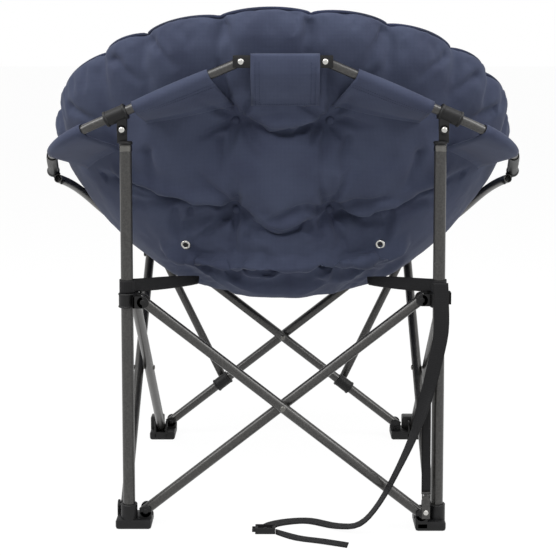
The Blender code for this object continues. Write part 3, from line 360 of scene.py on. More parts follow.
@dataclass(frozen=True)
class RibbedWebbing:
    """Woven polypropylene strap: black ribs across its length, with a firm selvedge on each edge."""

    name: str
    dark: str
    light: str
    rib_mm: float = 3.0  # real ribs are near 1.2 mm, drawn coarser so that they show
    rib_depth_mm: float = 0.5
    rib_bump: float = 0.5
    lanes: float = 9.0
    skew: float = 1.4

    def material(self) -> bpy.types.Material:
        """Build the webbing's material, which reads where it is along and across the strap.

        Returns:
            The material.
        """
        material, tree, shader = blank_material(self.name)
        along, across = [add_node(tree, "Attribute", attribute_name=name).outputs["Fac"]
                         for name in ("along", "across")]
        turns = add_node(tree, "Math", {0: along, 1: FULL_TURN / (self.rib_mm * MM)}, operation="MULTIPLY")
        lane = add_node(tree, "Math", {0: across, 1: self.lanes * math.pi}, operation="MULTIPLY")
        wave = add_node(tree, "Math", {0: lane.outputs[0]}, operation="SINE")
        slant = add_node(tree, "Math", {
            0: wave.outputs[0], 1: self.skew, 2: turns.outputs[0]}, operation="MULTIPLY_ADD")
        rib = add_node(tree, "Math", {0: slant.outputs[0]}, operation="SINE")
        level = add_node(tree, "MapRange", {
            "Value": rib.outputs[0], "From Min": -1.0, "From Max": 1.0}).outputs["Result"]
        colour = add_node(tree, "Mix", {
            0: level, 6: linear(self.dark), 7: linear(self.light)}, data_type="RGBA")
        bump = add_node(tree, "Bump", {
            "Height": level, "Strength": self.rib_bump, "Distance": self.rib_depth_mm * MM})
        feed(tree, shader, {
            "Base Color": colour.outputs[2], "Normal": bump.outputs["Normal"], "Roughness": 0.66,
            "Specular IOR Level": 0.22})
        return material


@dataclass(frozen=True)
class PaleFloor:
    """Seamless white paper: shows as white to the camera and keeps a soft shadow."""

    name: str = "studio_paper"
    shade: str = "F6F6F5"
    glow: float = 0.90
    glow_strength: float = 1.06

    def material(self) -> bpy.types.Material:
        """Build the paper's material.

        Returns:
            The material.
        """
        material, tree, shader = blank_material(self.name)
        feed(tree, shader, {"Base Color": linear(self.shade), "Roughness": 0.95})
        share = add_node(tree, "Math", {0: seen_directly(tree), 1: self.glow}, operation="MULTIPLY")
        glow = add_node(tree, "Emission", {"Color": (1, 1, 1, 1), "Strength": self.glow_strength})
        mix = add_node(tree, "MixShader", {
            0: share.outputs[0], 1: shader.outputs["BSDF"], 2: glow.outputs["Emission"]})
        feed(tree, tree.nodes["Material Output"], {"Surface": mix.outputs["Shader"]})
        return material


class Coat:
    """A built material with the record's slot that it belongs to."""

    def __init__(self, slot: Slot, finish: Any) -> None:
        """Build a finish for a slot."""
        self.slot = slot
        self.material = finish.material()


class Finishes:
    """The chair's finishes, built once."""

    def __init__(self) -> None:
        """Build every finish."""
        self.cloth = Coat(Slot.CLOTH, WovenCloth("navy_polyester", "3B4157", "464D63"))
        self.piping = Coat(Slot.CLOTH, WovenCloth("piping_cloth", "262B3B", "303650", thread_mm=1.6))
        self.thread = Coat(Slot.CLOTH, WovenCloth("sewing_thread", "2C3246", "3A415A", thread_mm=0.8))
        self.tube = Coat(Slot.TUBE, HammeredPaint("hammered_powder_coat", "232221", "434240"))
        self.plastic = Coat(Slot.PLASTIC, MouldedPlastic("moulded_nylon", "0C0C0D", "19191B"))
        self.steel = Coat(Slot.STEEL, BrightSteel("nickel_plated_steel", "BCBBB7"))
        # Darker steel for the scissor rivets; on the leg's nickel ferrule this darker copy of the bright
        # steel is painted shade that stands in for the ring's dark sides.
        self.rivet = Coat(Slot.STEEL, BrightSteel("dull_steel_and_painted_shade", "6A6966"))
        self.webbing = Coat(Slot.WEBBING, RibbedWebbing("polypropylene_webbing", "09090A", "1C1C1E"))


def thicken(piece: Piece, thickness: float) -> None:
    """Give a sheet its thickness, half to each side.

    Args:
        piece: the thin piece.
        thickness: its thickness.
    """
    wall = piece.modifiers.new("thickness", "SOLIDIFY")
    wall.thickness = thickness
    wall.offset = 0.0


class Workshop:
    """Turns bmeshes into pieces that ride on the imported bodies."""

    def __init__(self, frame: dict[str, Any]) -> None:
        """Keep which body each node is on.

        Args:
            frame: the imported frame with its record.
        """
        bodies = frame["record"]["behaviour"]["bodies"]
        self.body_of = {node: body for body, nodes in bodies.items() for node in nodes}
        self.collection = bpy.data.collections.new("chair_looks")
        bpy.context.scene.collection.children.link(self.collection)

    def object(self, name: str, bm: Mesh, material: bpy.types.Material) -> Piece:
        """Put a bmesh in the scene with its material.

        Args:
            name: the piece's name.
            bm: its shape, which is freed.
            material: its finish.

        Returns:
            The new object.
        """
        mesh = bpy.data.meshes.new(name)
        bm.to_mesh(mesh)
        bm.free()
        mesh.materials.append(material)
        piece = bpy.data.objects.new(name, mesh)
        self.collection.objects.link(piece)
        return piece

    def settle(self, piece: Piece, node: str, slot: Slot, replaces: bool = True) -> None:
        """Make a piece ride with a node's body.

        Args:
            piece: the finished piece.
            node: CAD node whose body carries it.
            slot: record slot that its finish belongs to; not used.
            replaces: whether it stands for that node.
        """
        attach(piece, self.body_of[node])
        if replaces:
            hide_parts(node)
        LOG.info("%s rides on %s", piece.name, self.body_of[node])

    def piece(self, name: str, bm: Mesh, coat: Coat, node: str, replaces: bool = True, sharp: float = 38.0,
              slot: Slot | None = None) -> Piece:
        """Finish a bmesh as a piece of the chair.

        Args:
            name: the piece's name.
            bm: its shape, which is freed.
            coat: its finish.
            node: CAD node that it stands for or sits on.
            replaces: whether it stands for that node.
            sharp: angle in degrees past which an edge shows as sharp.
            slot: the record's slot, where that isn't the coat's own.

        Returns:
            The new object.
        """
        piece = self.object(name, bm, coat.material)
        piece.data.shade_smooth()
        piece.data.set_sharp_from_angle(angle=math.radians(sharp))
        self.settle(piece, node, slot or coat.slot, replaces)
        return piece


def along_matrix(spot: Vector, way: Vector) -> Matrix:
    """Place of a shape whose Z runs along a direction."""
    return Matrix.Translation(spot) @ way.to_track_quat("Z", "Y").to_matrix().to_4x4()


def rounded_box(bm: Mesh, points: Sequence[Vector], width: float) -> None:
    """Add a box round some points, with rounded edges.

    Args:
        bm: mesh that gets it.
        points: points that it encloses.
        width: size of the rounding.
    """
    low = Vector([min(point[axis] for point in points) for axis in range(3)])
    high = Vector([max(point[axis] for point in points) for axis in range(3)])
    place = Matrix.Translation((low + high) / 2) @ Matrix.Diagonal((*(high - low), 1))
    verts = bmesh.ops.create_cube(bm, size=1, matrix=place)["verts"]
    edges = list(dict.fromkeys(edge for vert in verts for edge in vert.link_edges))
    bmesh.ops.bevel(bm, geom=edges, offset=width, offset_type="OFFSET", segments=2, profile=0.5,
                    affect="EDGES", clamp_overlap=True, material=-1)


def turned(bm: Mesh, profile: Sequence[Pair], spot: Vector, way: Vector, steps: int = 28) -> None:
    """Add a shape turned from a profile.

    Args:
        bm: mesh that gets it.
        profile: (radius, height) points; a closed ring if the first radius isn't 0.
        spot: where height 0 of its axis is.
        way: direction of its axis.
        steps: sides of the turned shape.
    """
    verts = [bm.verts.new((radius, 0, height)) for radius, height in profile]
    edges = [bm.edges.new(pair) for pair in zip(verts, verts[1:])]
    if profile[0][0] > 0:
        edges.append(bm.edges.new((verts[-1], verts[0])))
    before = set(bm.verts) - set(verts)
    bmesh.ops.spin(bm, geom=verts + edges, axis=Z_AXIS, cent=(0, 0, 0), dvec=(0, 0, 0), angle=FULL_TURN,
                   steps=steps, use_merge=True)
    bmesh.ops.remove_doubles(bm, verts=[vert for vert in bm.verts if vert not in before], dist=MERGE_GAP)
    grown = [vert for vert in bm.verts if vert not in before]
    faces = list(dict.fromkeys(face for vert in grown for face in vert.link_faces))
    bmesh.ops.recalc_face_normals(bm, faces=faces)
    bmesh.ops.transform(bm, matrix=along_matrix(spot, way), verts=grown)


def rounded_rod(bm: Mesh, start: Vector, end: Vector, radius: float, edge: float = 0.0008) -> None:
    """Add a round bar with softened ends between two points.

    Args:
        bm: mesh that gets it.
        start: middle of one end.
        end: middle of the other end.
        radius: its radius.
        edge: size of the rounding.
    """
    length = (end - start).length
    turned(bm, [(0, 0), (radius - edge, 0), (radius, edge), (radius, length - edge), (radius - edge, length),
                (0, length)], start, end - start)


def sleeve(bm: Mesh, middle: Vector, reach: Vector, inner: float, outer: float) -> None:
    """Add a round sleeve with softened rims that reaches to both sides of its middle.

    Args:
        bm: mesh that gets it.
        middle: its middle.
        reach: from the middle to one end.
        inner: radius of the bore.
        outer: outer radius.
    """
    length = 2 * reach.length
    turned(bm, [(inner, 0), (outer - RIM_EDGE, 0), (outer, RIM_EDGE), (outer, length - RIM_EDGE),
                (outer - RIM_EDGE, length), (inner, length)], middle - reach, reach)


def dome(bm: Mesh, spot: Vector, way: Vector, radius: float, height: float) -> None:
    """Add a domed rivet head that stands on a point.

    Args:
        bm: mesh that gets it.
        spot: middle of its foot.
        way: direction of its top.
        radius: radius of its foot.
        height: its height.
    """
    arc = [step * math.pi / 12 for step in range(1, 6)]
    turned(bm, [(0, 0), (radius, 0)] + [(radius * math.cos(turn), height * math.sin(turn)) for turn in arc]
           + [(0, height)], spot, way, 20)


def neighbour_ways(path: Sequence[Vector]) -> list[Vector]:
    """Direction of a path at each of its points, from the point before to the one after."""
    last = len(path) - 1
    return [(path[min(index + 1, last)] - path[max(index - 1, 0)]).normalized() for index in range(len(path))]


def extruded(bm: Mesh, edges: Sequence[bmesh.types.BMEdge]) -> tuple[list[Any], list[Any]]:
    """Extrude a row of edges.

    Args:
        bm: mesh that has them.
        edges: edges of the last row.

    Returns:
        Points and edges of the new row.
    """
    grown = bmesh.ops.extrude_edge_only(bm, edges=edges)["geom"]
    verts = [item for item in grown if isinstance(item, bmesh.types.BMVert)]
    rails = [item for item in grown if isinstance(item, bmesh.types.BMEdge)]
    return verts, [edge for edge in rails if set(verts).issuperset(edge.verts)]


def sweep(bm: Mesh, path: Sequence[Vector], radius: float, sides: int = 24, wall: float = 0.0) -> None:
    """Add a round tube along a path, with the least twist.

    Args:
        bm: mesh that gets it.
        path: points of its middle line.
        radius: outside radius.
        sides: sides of its section.
        wall: wall that shows at its two open ends; 0 closes them flat.
    """
    old = set(bm.faces)
    ways = neighbour_ways(path)
    turn = ways[0].to_track_quat("Z", "Y")
    place = Matrix.Translation(path[0]) @ turn.to_matrix().to_4x4()
    ring = bmesh.ops.create_circle(bm, cap_ends=False, segments=sides, radius=radius, matrix=place)["verts"]
    first = edges = list(dict.fromkeys(edge for vert in ring for edge in vert.link_edges))
    for spot, before, after in zip(path[1:], ways, ways[1:]):
        verts, edges = extruded(bm, edges)
        turn = before.rotation_difference(after) @ turn
        new_place = Matrix.Translation(spot) @ turn.to_matrix().to_4x4()
        bmesh.ops.transform(bm, matrix=new_place @ place.inverted(), verts=verts)
        place = new_place
    ends = [face for rim in (first, edges) for face in bmesh.ops.contextual_create(bm, geom=rim)["faces"]]
    bmesh.ops.recalc_face_normals(bm, faces=[face for face in bm.faces if face not in old])
    if wall:
        bmesh.ops.inset_individual(bm, faces=ends, thickness=wall)
        bmesh.ops.inset_individual(bm, faces=ends, thickness=wall * BORE_TAPER, depth=-radius)


def loft(bm: Mesh, rows: Sequence[Sequence[Vector]]) -> None:
    """Extrude a row of points from each row to the next.

    Args:
        bm: mesh that gets the sheet.
        rows: rows of the same number of points.
    """
    order = bm.verts.layers.int.new("order")
    verts = [bm.verts.new(spot) for spot in rows[0]]
    for number, vert in enumerate(verts):
        vert[order] = number
    edges = [bm.edges.new(pair) for pair in zip(verts, verts[1:])]
    for row in rows[1:]:
        verts, edges = extruded(bm, edges)
        for vert in verts:
            vert.co = row[vert[order]]
    bmesh.ops.recalc_face_normals(bm, faces=bm.faces)


def run_length(points: Sequence[Vector]) -> float:
    """Length along some points."""
    return sum((second - first).length for first, second in zip(points, points[1:]))


@dataclass
class ChairPlan:
    """Places of the frame, with Y measured from the plane of the rear legs."""

    rear_y: float
    half: float = 0.280
    depth: float = 0.560
    inset: float = 0.030
    low: float = 0.030
    high: float = 0.420
    plane: float = 0.010
    leg_foot: float = 0.0063
    leg_top: float = 0.700
    leg_radius: float = 0.0110
    brace_radius: float = 0.0095
    ring_radius: float = 0.0085
    tube_end: float = 0.0090
    hub_pin: Triple = (0.074, -0.012, 0.848)
    hub_wall: float = 0.0056  # from an arm's surface to the outside of the hub's cheek
    arm_pivot: Triple = (0.286, 0.0, 0.727)
    arm_lift: float = 0.030
    collar_out: float = 0.0225
    bend_out: float = 0.0255
    arm_pull: float = 0.38
    knuckle: Triple = (0.452, 0.250, 0.630)
    arm_heading: Triple = (0.16, 0.93, -0.33)
    hinge_heading: Triple = (-0.626, -0.339, -0.700)
    knuckle_gap: float = 0.0128
    hinge_standoff: float = 0.0225
    rail_end: Triple = (0.310, 0.603, 0.445)
    rail_start_heading: Triple = (-0.26, 0.93, -0.26)
    rail_end_heading: Triple = (-0.55, 0.75, -0.36)
    rail_pull: float = 0.35
    strut_low: Triple = (0.13488, 0.600, 0.1198)
    strut_high: Triple = (0.292, 0.600, 0.445)

    def at(self, x: float, y: float, z: float) -> Vector:
        """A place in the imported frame."""
        return Vector((x, y + self.rear_y, z))

    def sided(self, right: Triple, side: int) -> Vector:
        """A place given for the right side, on either side."""
        return self.at(right[0] * side, right[1], right[2])

    def heading(self, right: Triple, side: int) -> Vector:
        """A direction given for the right side, on either side."""
        return Vector((right[0] * side, right[1], right[2])).normalized()

    def corner(self, side: int, front: bool, height: float) -> Vector:
        """A place on the upright of one corner."""
        return self.at(side * self.half, self.depth if front else 0.0, height)

    def pins(self, side: int, front: bool, top: bool) -> tuple[Vector, Vector]:
        """Pins of one corner.

        Args:
            side: -1 for left, 1 for right.
            front: whether it is a front corner.
            top: whether it is an upper corner.

        Returns:
            Pin of the left-right bar and pin of the fore-aft bar.
        """
        height = self.high if top else self.low
        rises_left = (side < 0) != top
        base = self.depth if front else 0.0
        plane = self.plane if rises_left else -self.plane
        lateral = self.at(side * (self.half - self.inset), base + plane, height)
        fore_x = side * self.half + (-self.plane if front == top else self.plane)
        return lateral, self.at(fore_x, self.depth - self.inset if front else self.inset, height)

    def arm_line(self, side: int) -> tuple[Vector, Vector, Vector]:
        """Straight part of one arm.

        Args:
            side: -1 for left, 1 for right.

        Returns:
            Hub pin, direction over the leg, and collar place.
        """
        hub = self.sided(self.hub_pin, side)
        over = self.sided(self.arm_pivot, side) + Z_AXIS * self.arm_lift
        way = (over - hub).normalized()
        return hub, way, over + way * self.collar_out

    def arm_path(self, side: int, points: int = 22) -> list[Vector]:
        """Middle line of one ring arm.

        Args:
            side: -1 for left, 1 for right.
            points: number of points on its curve.

        Returns:
            Points from the hub to the knuckle.
        """
        hub, way, collar = self.arm_line(side)
        bend = collar + way * self.bend_out
        end = self.sided(self.knuckle, side)
        pull = (end - bend).length * self.arm_pull
        arrive = end - self.heading(self.arm_heading, side) * pull
        curve = interpolate_bezier(bend, bend + way * pull, arrive, end, points)
        return [hub - way * self.tube_end] + list(curve)

    def knuckle_ball(self, side: int) -> Vector:
        """Middle of the knuckle at the arm's end."""
        return self.sided(self.knuckle, side) + self.heading(self.arm_heading, side) * self.knuckle_gap

    def rail_path(self, side: int, points: int = 18) -> list[Vector]:
        """Middle line of one front rail.

        Args:
            side: -1 for left, 1 for right.
            points: number of points on its curve.

        Returns:
            Points from the knuckle to the rail's end.
        """
        start = self.knuckle_ball(side) + self.heading(self.hinge_heading, side) * self.hinge_standoff
        end = self.sided(self.rail_end, side)
        lead = self.heading(self.rail_start_heading, side)
        pull = (end - start).length * self.rail_pull
        leave = start + lead * self.tube_end
        arrive = end - self.heading(self.rail_end_heading, side) * pull
        curve = interpolate_bezier(leave, leave + lead * pull, arrive, end, points)
        return [start - lead * self.tube_end] + list(curve)


@dataclass
class Studio:
    """Floor, soft light and the camera behind the chair."""

    plan: ChairPlan
    distance: float = 2.380
    height: float = 0.905
    focal_px: float = 1343.0
    frame_px: float = 556.0
    middle_px: float = 283.0
    horizon_px: float = 29.0
    pitch: float = math.radians(5.0)
    sensor_mm: float = 36.0
    floor_half: float = 30.0
    aim: Triple = (0.0, 0.0, 0.5)
    daylight: float = 0.20  # strength of the white world where it isn't seen directly
    lamps: tuple[tuple[str, Triple, Pair, float], ...] = (  # name, place, size and watts
        ("key", (-0.7, -2.0, 3.1), (1.9, 1.9), 41), ("fill", (2.4, -2.2, 1.6), (2.0, 2.0), 8),
        ("top", (0.0, -0.7, 2.9), (4.0, 1.4), 22), ("strip", (-1.9, -0.8, 2.1), (1.1, 1.7), 27),
        ("strip", (1.9, -0.8, 2.1), (1.1, 1.7), 27))

    def build(self) -> None:
        """Make the floor, the world, the lamps and the camera."""
        scene = bpy.context.scene
        scene.view_settings.view_transform = "Standard"
        self.floor()
        self.world(scene)
        for lamp in self.lamps:
            self.lamp(*lamp)
        scene.camera = self.camera()

    def add(self, name: str, data: Any) -> Piece:
        """Put something in the scene.

        Args:
            name: its name.
            data: the light or camera data.

        Returns:
            The new object.
        """
        item = bpy.data.objects.new(name, data)
        bpy.context.scene.collection.objects.link(item)
        return item

    def floor(self) -> None:
        """Lay the paper that the chair stands on."""
        bm = bmesh.new()
        bmesh.ops.create_grid(bm, x_segments=1, y_segments=1, size=self.floor_half)
        mesh = bpy.data.meshes.new("studio_floor")
        bm.to_mesh(mesh)
        bm.free()
        mesh.materials.append(PaleFloor().material())
        self.add("studio_floor", mesh)

    def world(self, scene: bpy.types.Scene) -> None:
        """Light the chair evenly and show white behind it.

        Args:
            scene: scene that gets it.
        """
        scene.world = bpy.data.worlds.new("white_studio")
        scene.world.use_nodes = True
        tree = scene.world.node_tree
        strength = add_node(tree, "MapRange", {
            "Value": seen_directly(tree), "To Min": self.daylight, "To Max": 1.0})
        feed(tree, tree.nodes["Background"], {
            "Color": (1, 1, 1, 1), "Strength": strength.outputs["Result"]})

    def lamp(self, name: str, spot: Triple, size: Pair, watts: float) -> None:
        """Hang one soft lamp that faces the chair.

        Args:
            name: its name.
            spot: where it hangs.
            size: width and height.
            watts: its power.
        """
        light = bpy.data.lights.new(name, "AREA")
        light.shape = "RECTANGLE"
        light.size, light.size_y = size
        light.energy = watts
        lamp = self.add(name, light)
        lamp.location = spot
        lamp.rotation_euler = (Vector(self.aim) - lamp.location).to_track_quat("-Z", "Y").to_euler()

    def camera(self) -> Piece:
        """Stand the camera where the photograph was taken.

        Returns:
            The camera.
        """
        data = bpy.data.cameras.new("camera")
        data.sensor_width = self.sensor_mm
        data.lens = self.sensor_mm * self.focal_px / self.frame_px
        aim_px = self.horizon_px + math.tan(self.pitch) * self.focal_px
        data.shift_x = (self.frame_px / 2 - self.middle_px) / self.frame_px
        data.shift_y = (aim_px - self.frame_px / 2) / self.frame_px
        camera = self.add("camera", data)
        camera.location = self.plan.at(0, -self.distance, self.height)
        camera.rotation_euler = (math.pi / 2 - self.pitch, 0, 0)
        return camera


@dataclass
class Trade:
    """What every maker of pieces works with."""

    shop: Workshop
    plan: ChairPlan
    finishes: Finishes

    def webbing(self, node: str, strip: Strip) -> Piece:
        """Make one length of webbing that stands for a node.

        Args:
            node: CAD node that it stands for.
            strip: its route and width.

        Returns:
            The new piece.
        """
        piece = self.shop.piece(node + "_webbing", strip.mesh(), self.finishes.webbing, node, sharp=60)
        thicken(piece, strip.thickness)
        return piece


@dataclass
class Strip:
    """A flat strip of webbing along stations of (point, sideways direction)."""

    stations: Sequence[tuple[Vector, Vector]]
    width: float
    thickness: float = 0.0020
    lanes: int = 6

    def line(self) -> list[Vector]:
        """Points of its middle."""
        return [point for point, sideways in self.stations]

    def mesh(self) -> Mesh:
        """Extrude a strip of no thickness.

        Returns:
            The strip, whose points know where they are along and across it.
        """
        bm = bmesh.new()
        along = bm.verts.layers.float.new("along")
        across = bm.verts.layers.float.new("across")
        shares = [lane / self.lanes - 0.5 for lane in range(self.lanes + 1)]
        row = [bm.verts.new() for share in shares]
        edges = [bm.edges.new(pair) for pair in zip(row, row[1:])]
        for index, (point, sideways) in enumerate(self.stations):
            if index:
                verts, edges = extruded(bm, edges)
                row = sorted(verts, key=lambda vert: vert[across])
            run = run_length(self.line()[:index + 1])
            for vert, share in zip(row, shares):
                vert.co = point + sideways.normalized() * share * self.width
                vert[along], vert[across] = run, share
        bmesh.ops.recalc_face_normals(bm, faces=bm.faces)
        return bm


def smooth_route(stations: Sequence[tuple[Vector, Vector]], steps: int) -> list[tuple[Vector, Vector]]:
    """Lay a smooth curve through chosen stations.

    Args:
        stations: (point, sideways direction) pairs.
        steps: new stations for each old one.

    Returns:
        The finer stations.
    """
    result = []
    last = len(stations) - 1
    for index in range(last):
        before, first = stations[max(index - 1, 0)], stations[index]
        second, after = stations[index + 1], stations[min(index + 2, last)]
        curve = interpolate_bezier(first[0], first[0] + (second[0] - before[0]) / 6,
                                   second[0] - (after[0] - first[0]) / 6, second[0], steps + 1)
        for step in range(steps):
            result.append((Vector(curve[step]), first[1].lerp(second[1], step / steps)))
    return result + [stations[last]]


@dataclass
class CarryStrap(Trade):
    """The long strap on the right leg, its ladder buckle and its loose tail."""

    width: float = 0.0270
    tail_width: float = 0.0216
    steps: int = 4
    route: tuple[tuple[float, ...], ...] = (  # place, then sideways direction
        (0.2810, -0.0166, 0.4540, 1.00, 0.00, 0.00), (0.2820, -0.0180, 0.4280, 1.00, 0.00, 0.00),
        (0.2820, -0.0225, 0.3650, 1.00, -0.10, 0.06), (0.2680, -0.0245, 0.2960, 0.99, 0.00, 0.14),
        (0.2580, -0.0250, 0.2560, 0.97, -0.10, 0.22), (0.2360, -0.0330, 0.1880, 0.45, -0.86, 0.20),
        (0.2080, -0.0400, 0.1270, 0.22, -0.96, 0.12), (0.1720, -0.0420, 0.0600, 0.10, -0.98, 0.08),
        (0.1380, -0.0340, 0.0190, 0.02, -1.00, 0.05), (0.0980, -0.0080, 0.0050, -0.30, -0.95, 0.02),
        (0.0500, 0.0260, 0.0016, -0.30, -0.95, 0.00), (0.0120, 0.0240, 0.0014, 0.25, -0.97, 0.00),
        (-0.0200, 0.0080, 0.0014, 0.80, -0.60, 0.00), (-0.0310, -0.0146, 0.0014, 1.00, 0.00, 0.00))
    tail: tuple[tuple[float, ...], ...] = (
        (-0.0136, -0.0262, 0.0014, 0.00, -1.00, 0.00), (0.0250, -0.0560, 0.0014, -0.45, -0.89, 0.00),
        (0.0700, -0.0760, 0.0030, -0.35, -0.94, 0.00), (0.1140, -0.0900, 0.0014, -0.20, -0.98, 0.00))
    buckle_middle: Triple = (-0.0320, -0.0260, 0.0060)
    buckle_half: Triple = (0.0180, 0.0110, 0.0056)
    buckle_edge: float = 0.0009
    buckle_blocks: tuple[tuple[Triple, Triple], ...] = (  # middle and half size, as shares of buckle_half
        ((0, -0.86, 0), (1, 0.14, 1)), ((0, 0.86, 0), (1, 0.14, 1)),
        ((-1.12, -0.55, 0), (0.20, 0.16, 0.5)), ((-1.12, 0.55, 0), (0.20, 0.16, 0.5)),
        ((-0.86, 0, 0), (0.14, 0.9, 0.8)), ((0, 0, 0), (0.14, 0.9, 0.496)), ((0.86, 0, 0), (0.14, 0.9, 0.8)))

    def build(self) -> None:
        buckle = self.buckle()
        self.cord("carry_strap", self.route, self.width, "connector", [buckle])
        self.cord("strap_tail", self.tail, self.tail_width, "bare", [])

    def cord(self, node: str, route: Sequence[tuple[float, ...]], width: float, far_end: str,
             carried: list[Piece]) -> None:
        """Make one free length of webbing.

        Args:
            node: CAD node that it stands for.
            route: places and sideways directions.
            width: width of the webbing.
            far_end: what its far end is; not used.
            carried: pieces that its far end carries; not used.
        """
        rough = [(self.plan.at(*spot[:3]), Vector(spot[3:])) for spot in route]
        strip = Strip(smooth_route(rough, self.steps), width)
        piece = self.webbing(node, strip)

    def buckle(self) -> Piece:
        """Make the ladder buckle from two side rails, two prongs and three bars.

        Returns:
            The buckle.
        """
        bm = bmesh.new()
        middle, half = self.plan.at(*self.buckle_middle), Vector(self.buckle_half)
        for place, size in self.buckle_blocks:
            spot, reach = middle + Vector(place) * half, Vector(size) * half
            rounded_box(bm, [spot - reach, spot + reach], self.buckle_edge)
        return self.shop.piece("strap_buckle_ladder", bm, self.finishes.plastic, "strap_buckle")


@dataclass
class TubeFrame(Trade):
    """Legs, scissor bars, struts and the ring's tubes."""

    wall: float = 0.0012
    sides: int = 28

    def build(self) -> None:
        """Make every tube in place of its solid."""
        plan = self.plan
        for title, side in SIDES.items():
            leg = [plan.corner(side, False, height) for height in (plan.leg_foot, plan.leg_top)]
            self.tube(title + "_rear_leg", leg, plan.leg_radius)
            low, high = plan.sided(plan.strut_low, side), plan.sided(plan.strut_high, side)
            foot = low + (low - high).normalized() * plan.tube_end
            self.tube(title + "_front_strut", [foot, high], plan.ring_radius)
            self.tube(title + "_arm", plan.arm_path(side), plan.ring_radius)
            self.tube(title + "_front_rail", plan.rail_path(side), plan.ring_radius)
            for where, front in (("rear", False), ("front", True)):
                self.bar(f"{title}_side_brace_{where}", plan.pins(side, front, False)[1],
                         plan.pins(side, not front, True)[1])
            for where, front in (("rear", False), ("front", True)):
                self.bar(f"{where}_brace_{title}", plan.pins(side, front, False)[0],
                         plan.pins(-side, front, True)[0])

    def bar(self, node: str, low: Vector, high: Vector) -> None:
        """Make one scissor bar, which runs a little past its two pins."""
        past = (high - low).normalized() * self.plan.tube_end
        self.tube(node, [low - past, high + past], self.plan.brace_radius)

    def tube(self, node: str, path: Sequence[Vector], radius: float) -> None:
        """Make one tube along a path.

        Args:
            node: CAD node that it stands for.
            path: middle line.
            radius: outer radius.
        """
        bm = bmesh.new()
        sweep(bm, path, radius, self.sides, self.wall)
        self.shop.piece(node + "_tube", bm, self.finishes.tube, node)


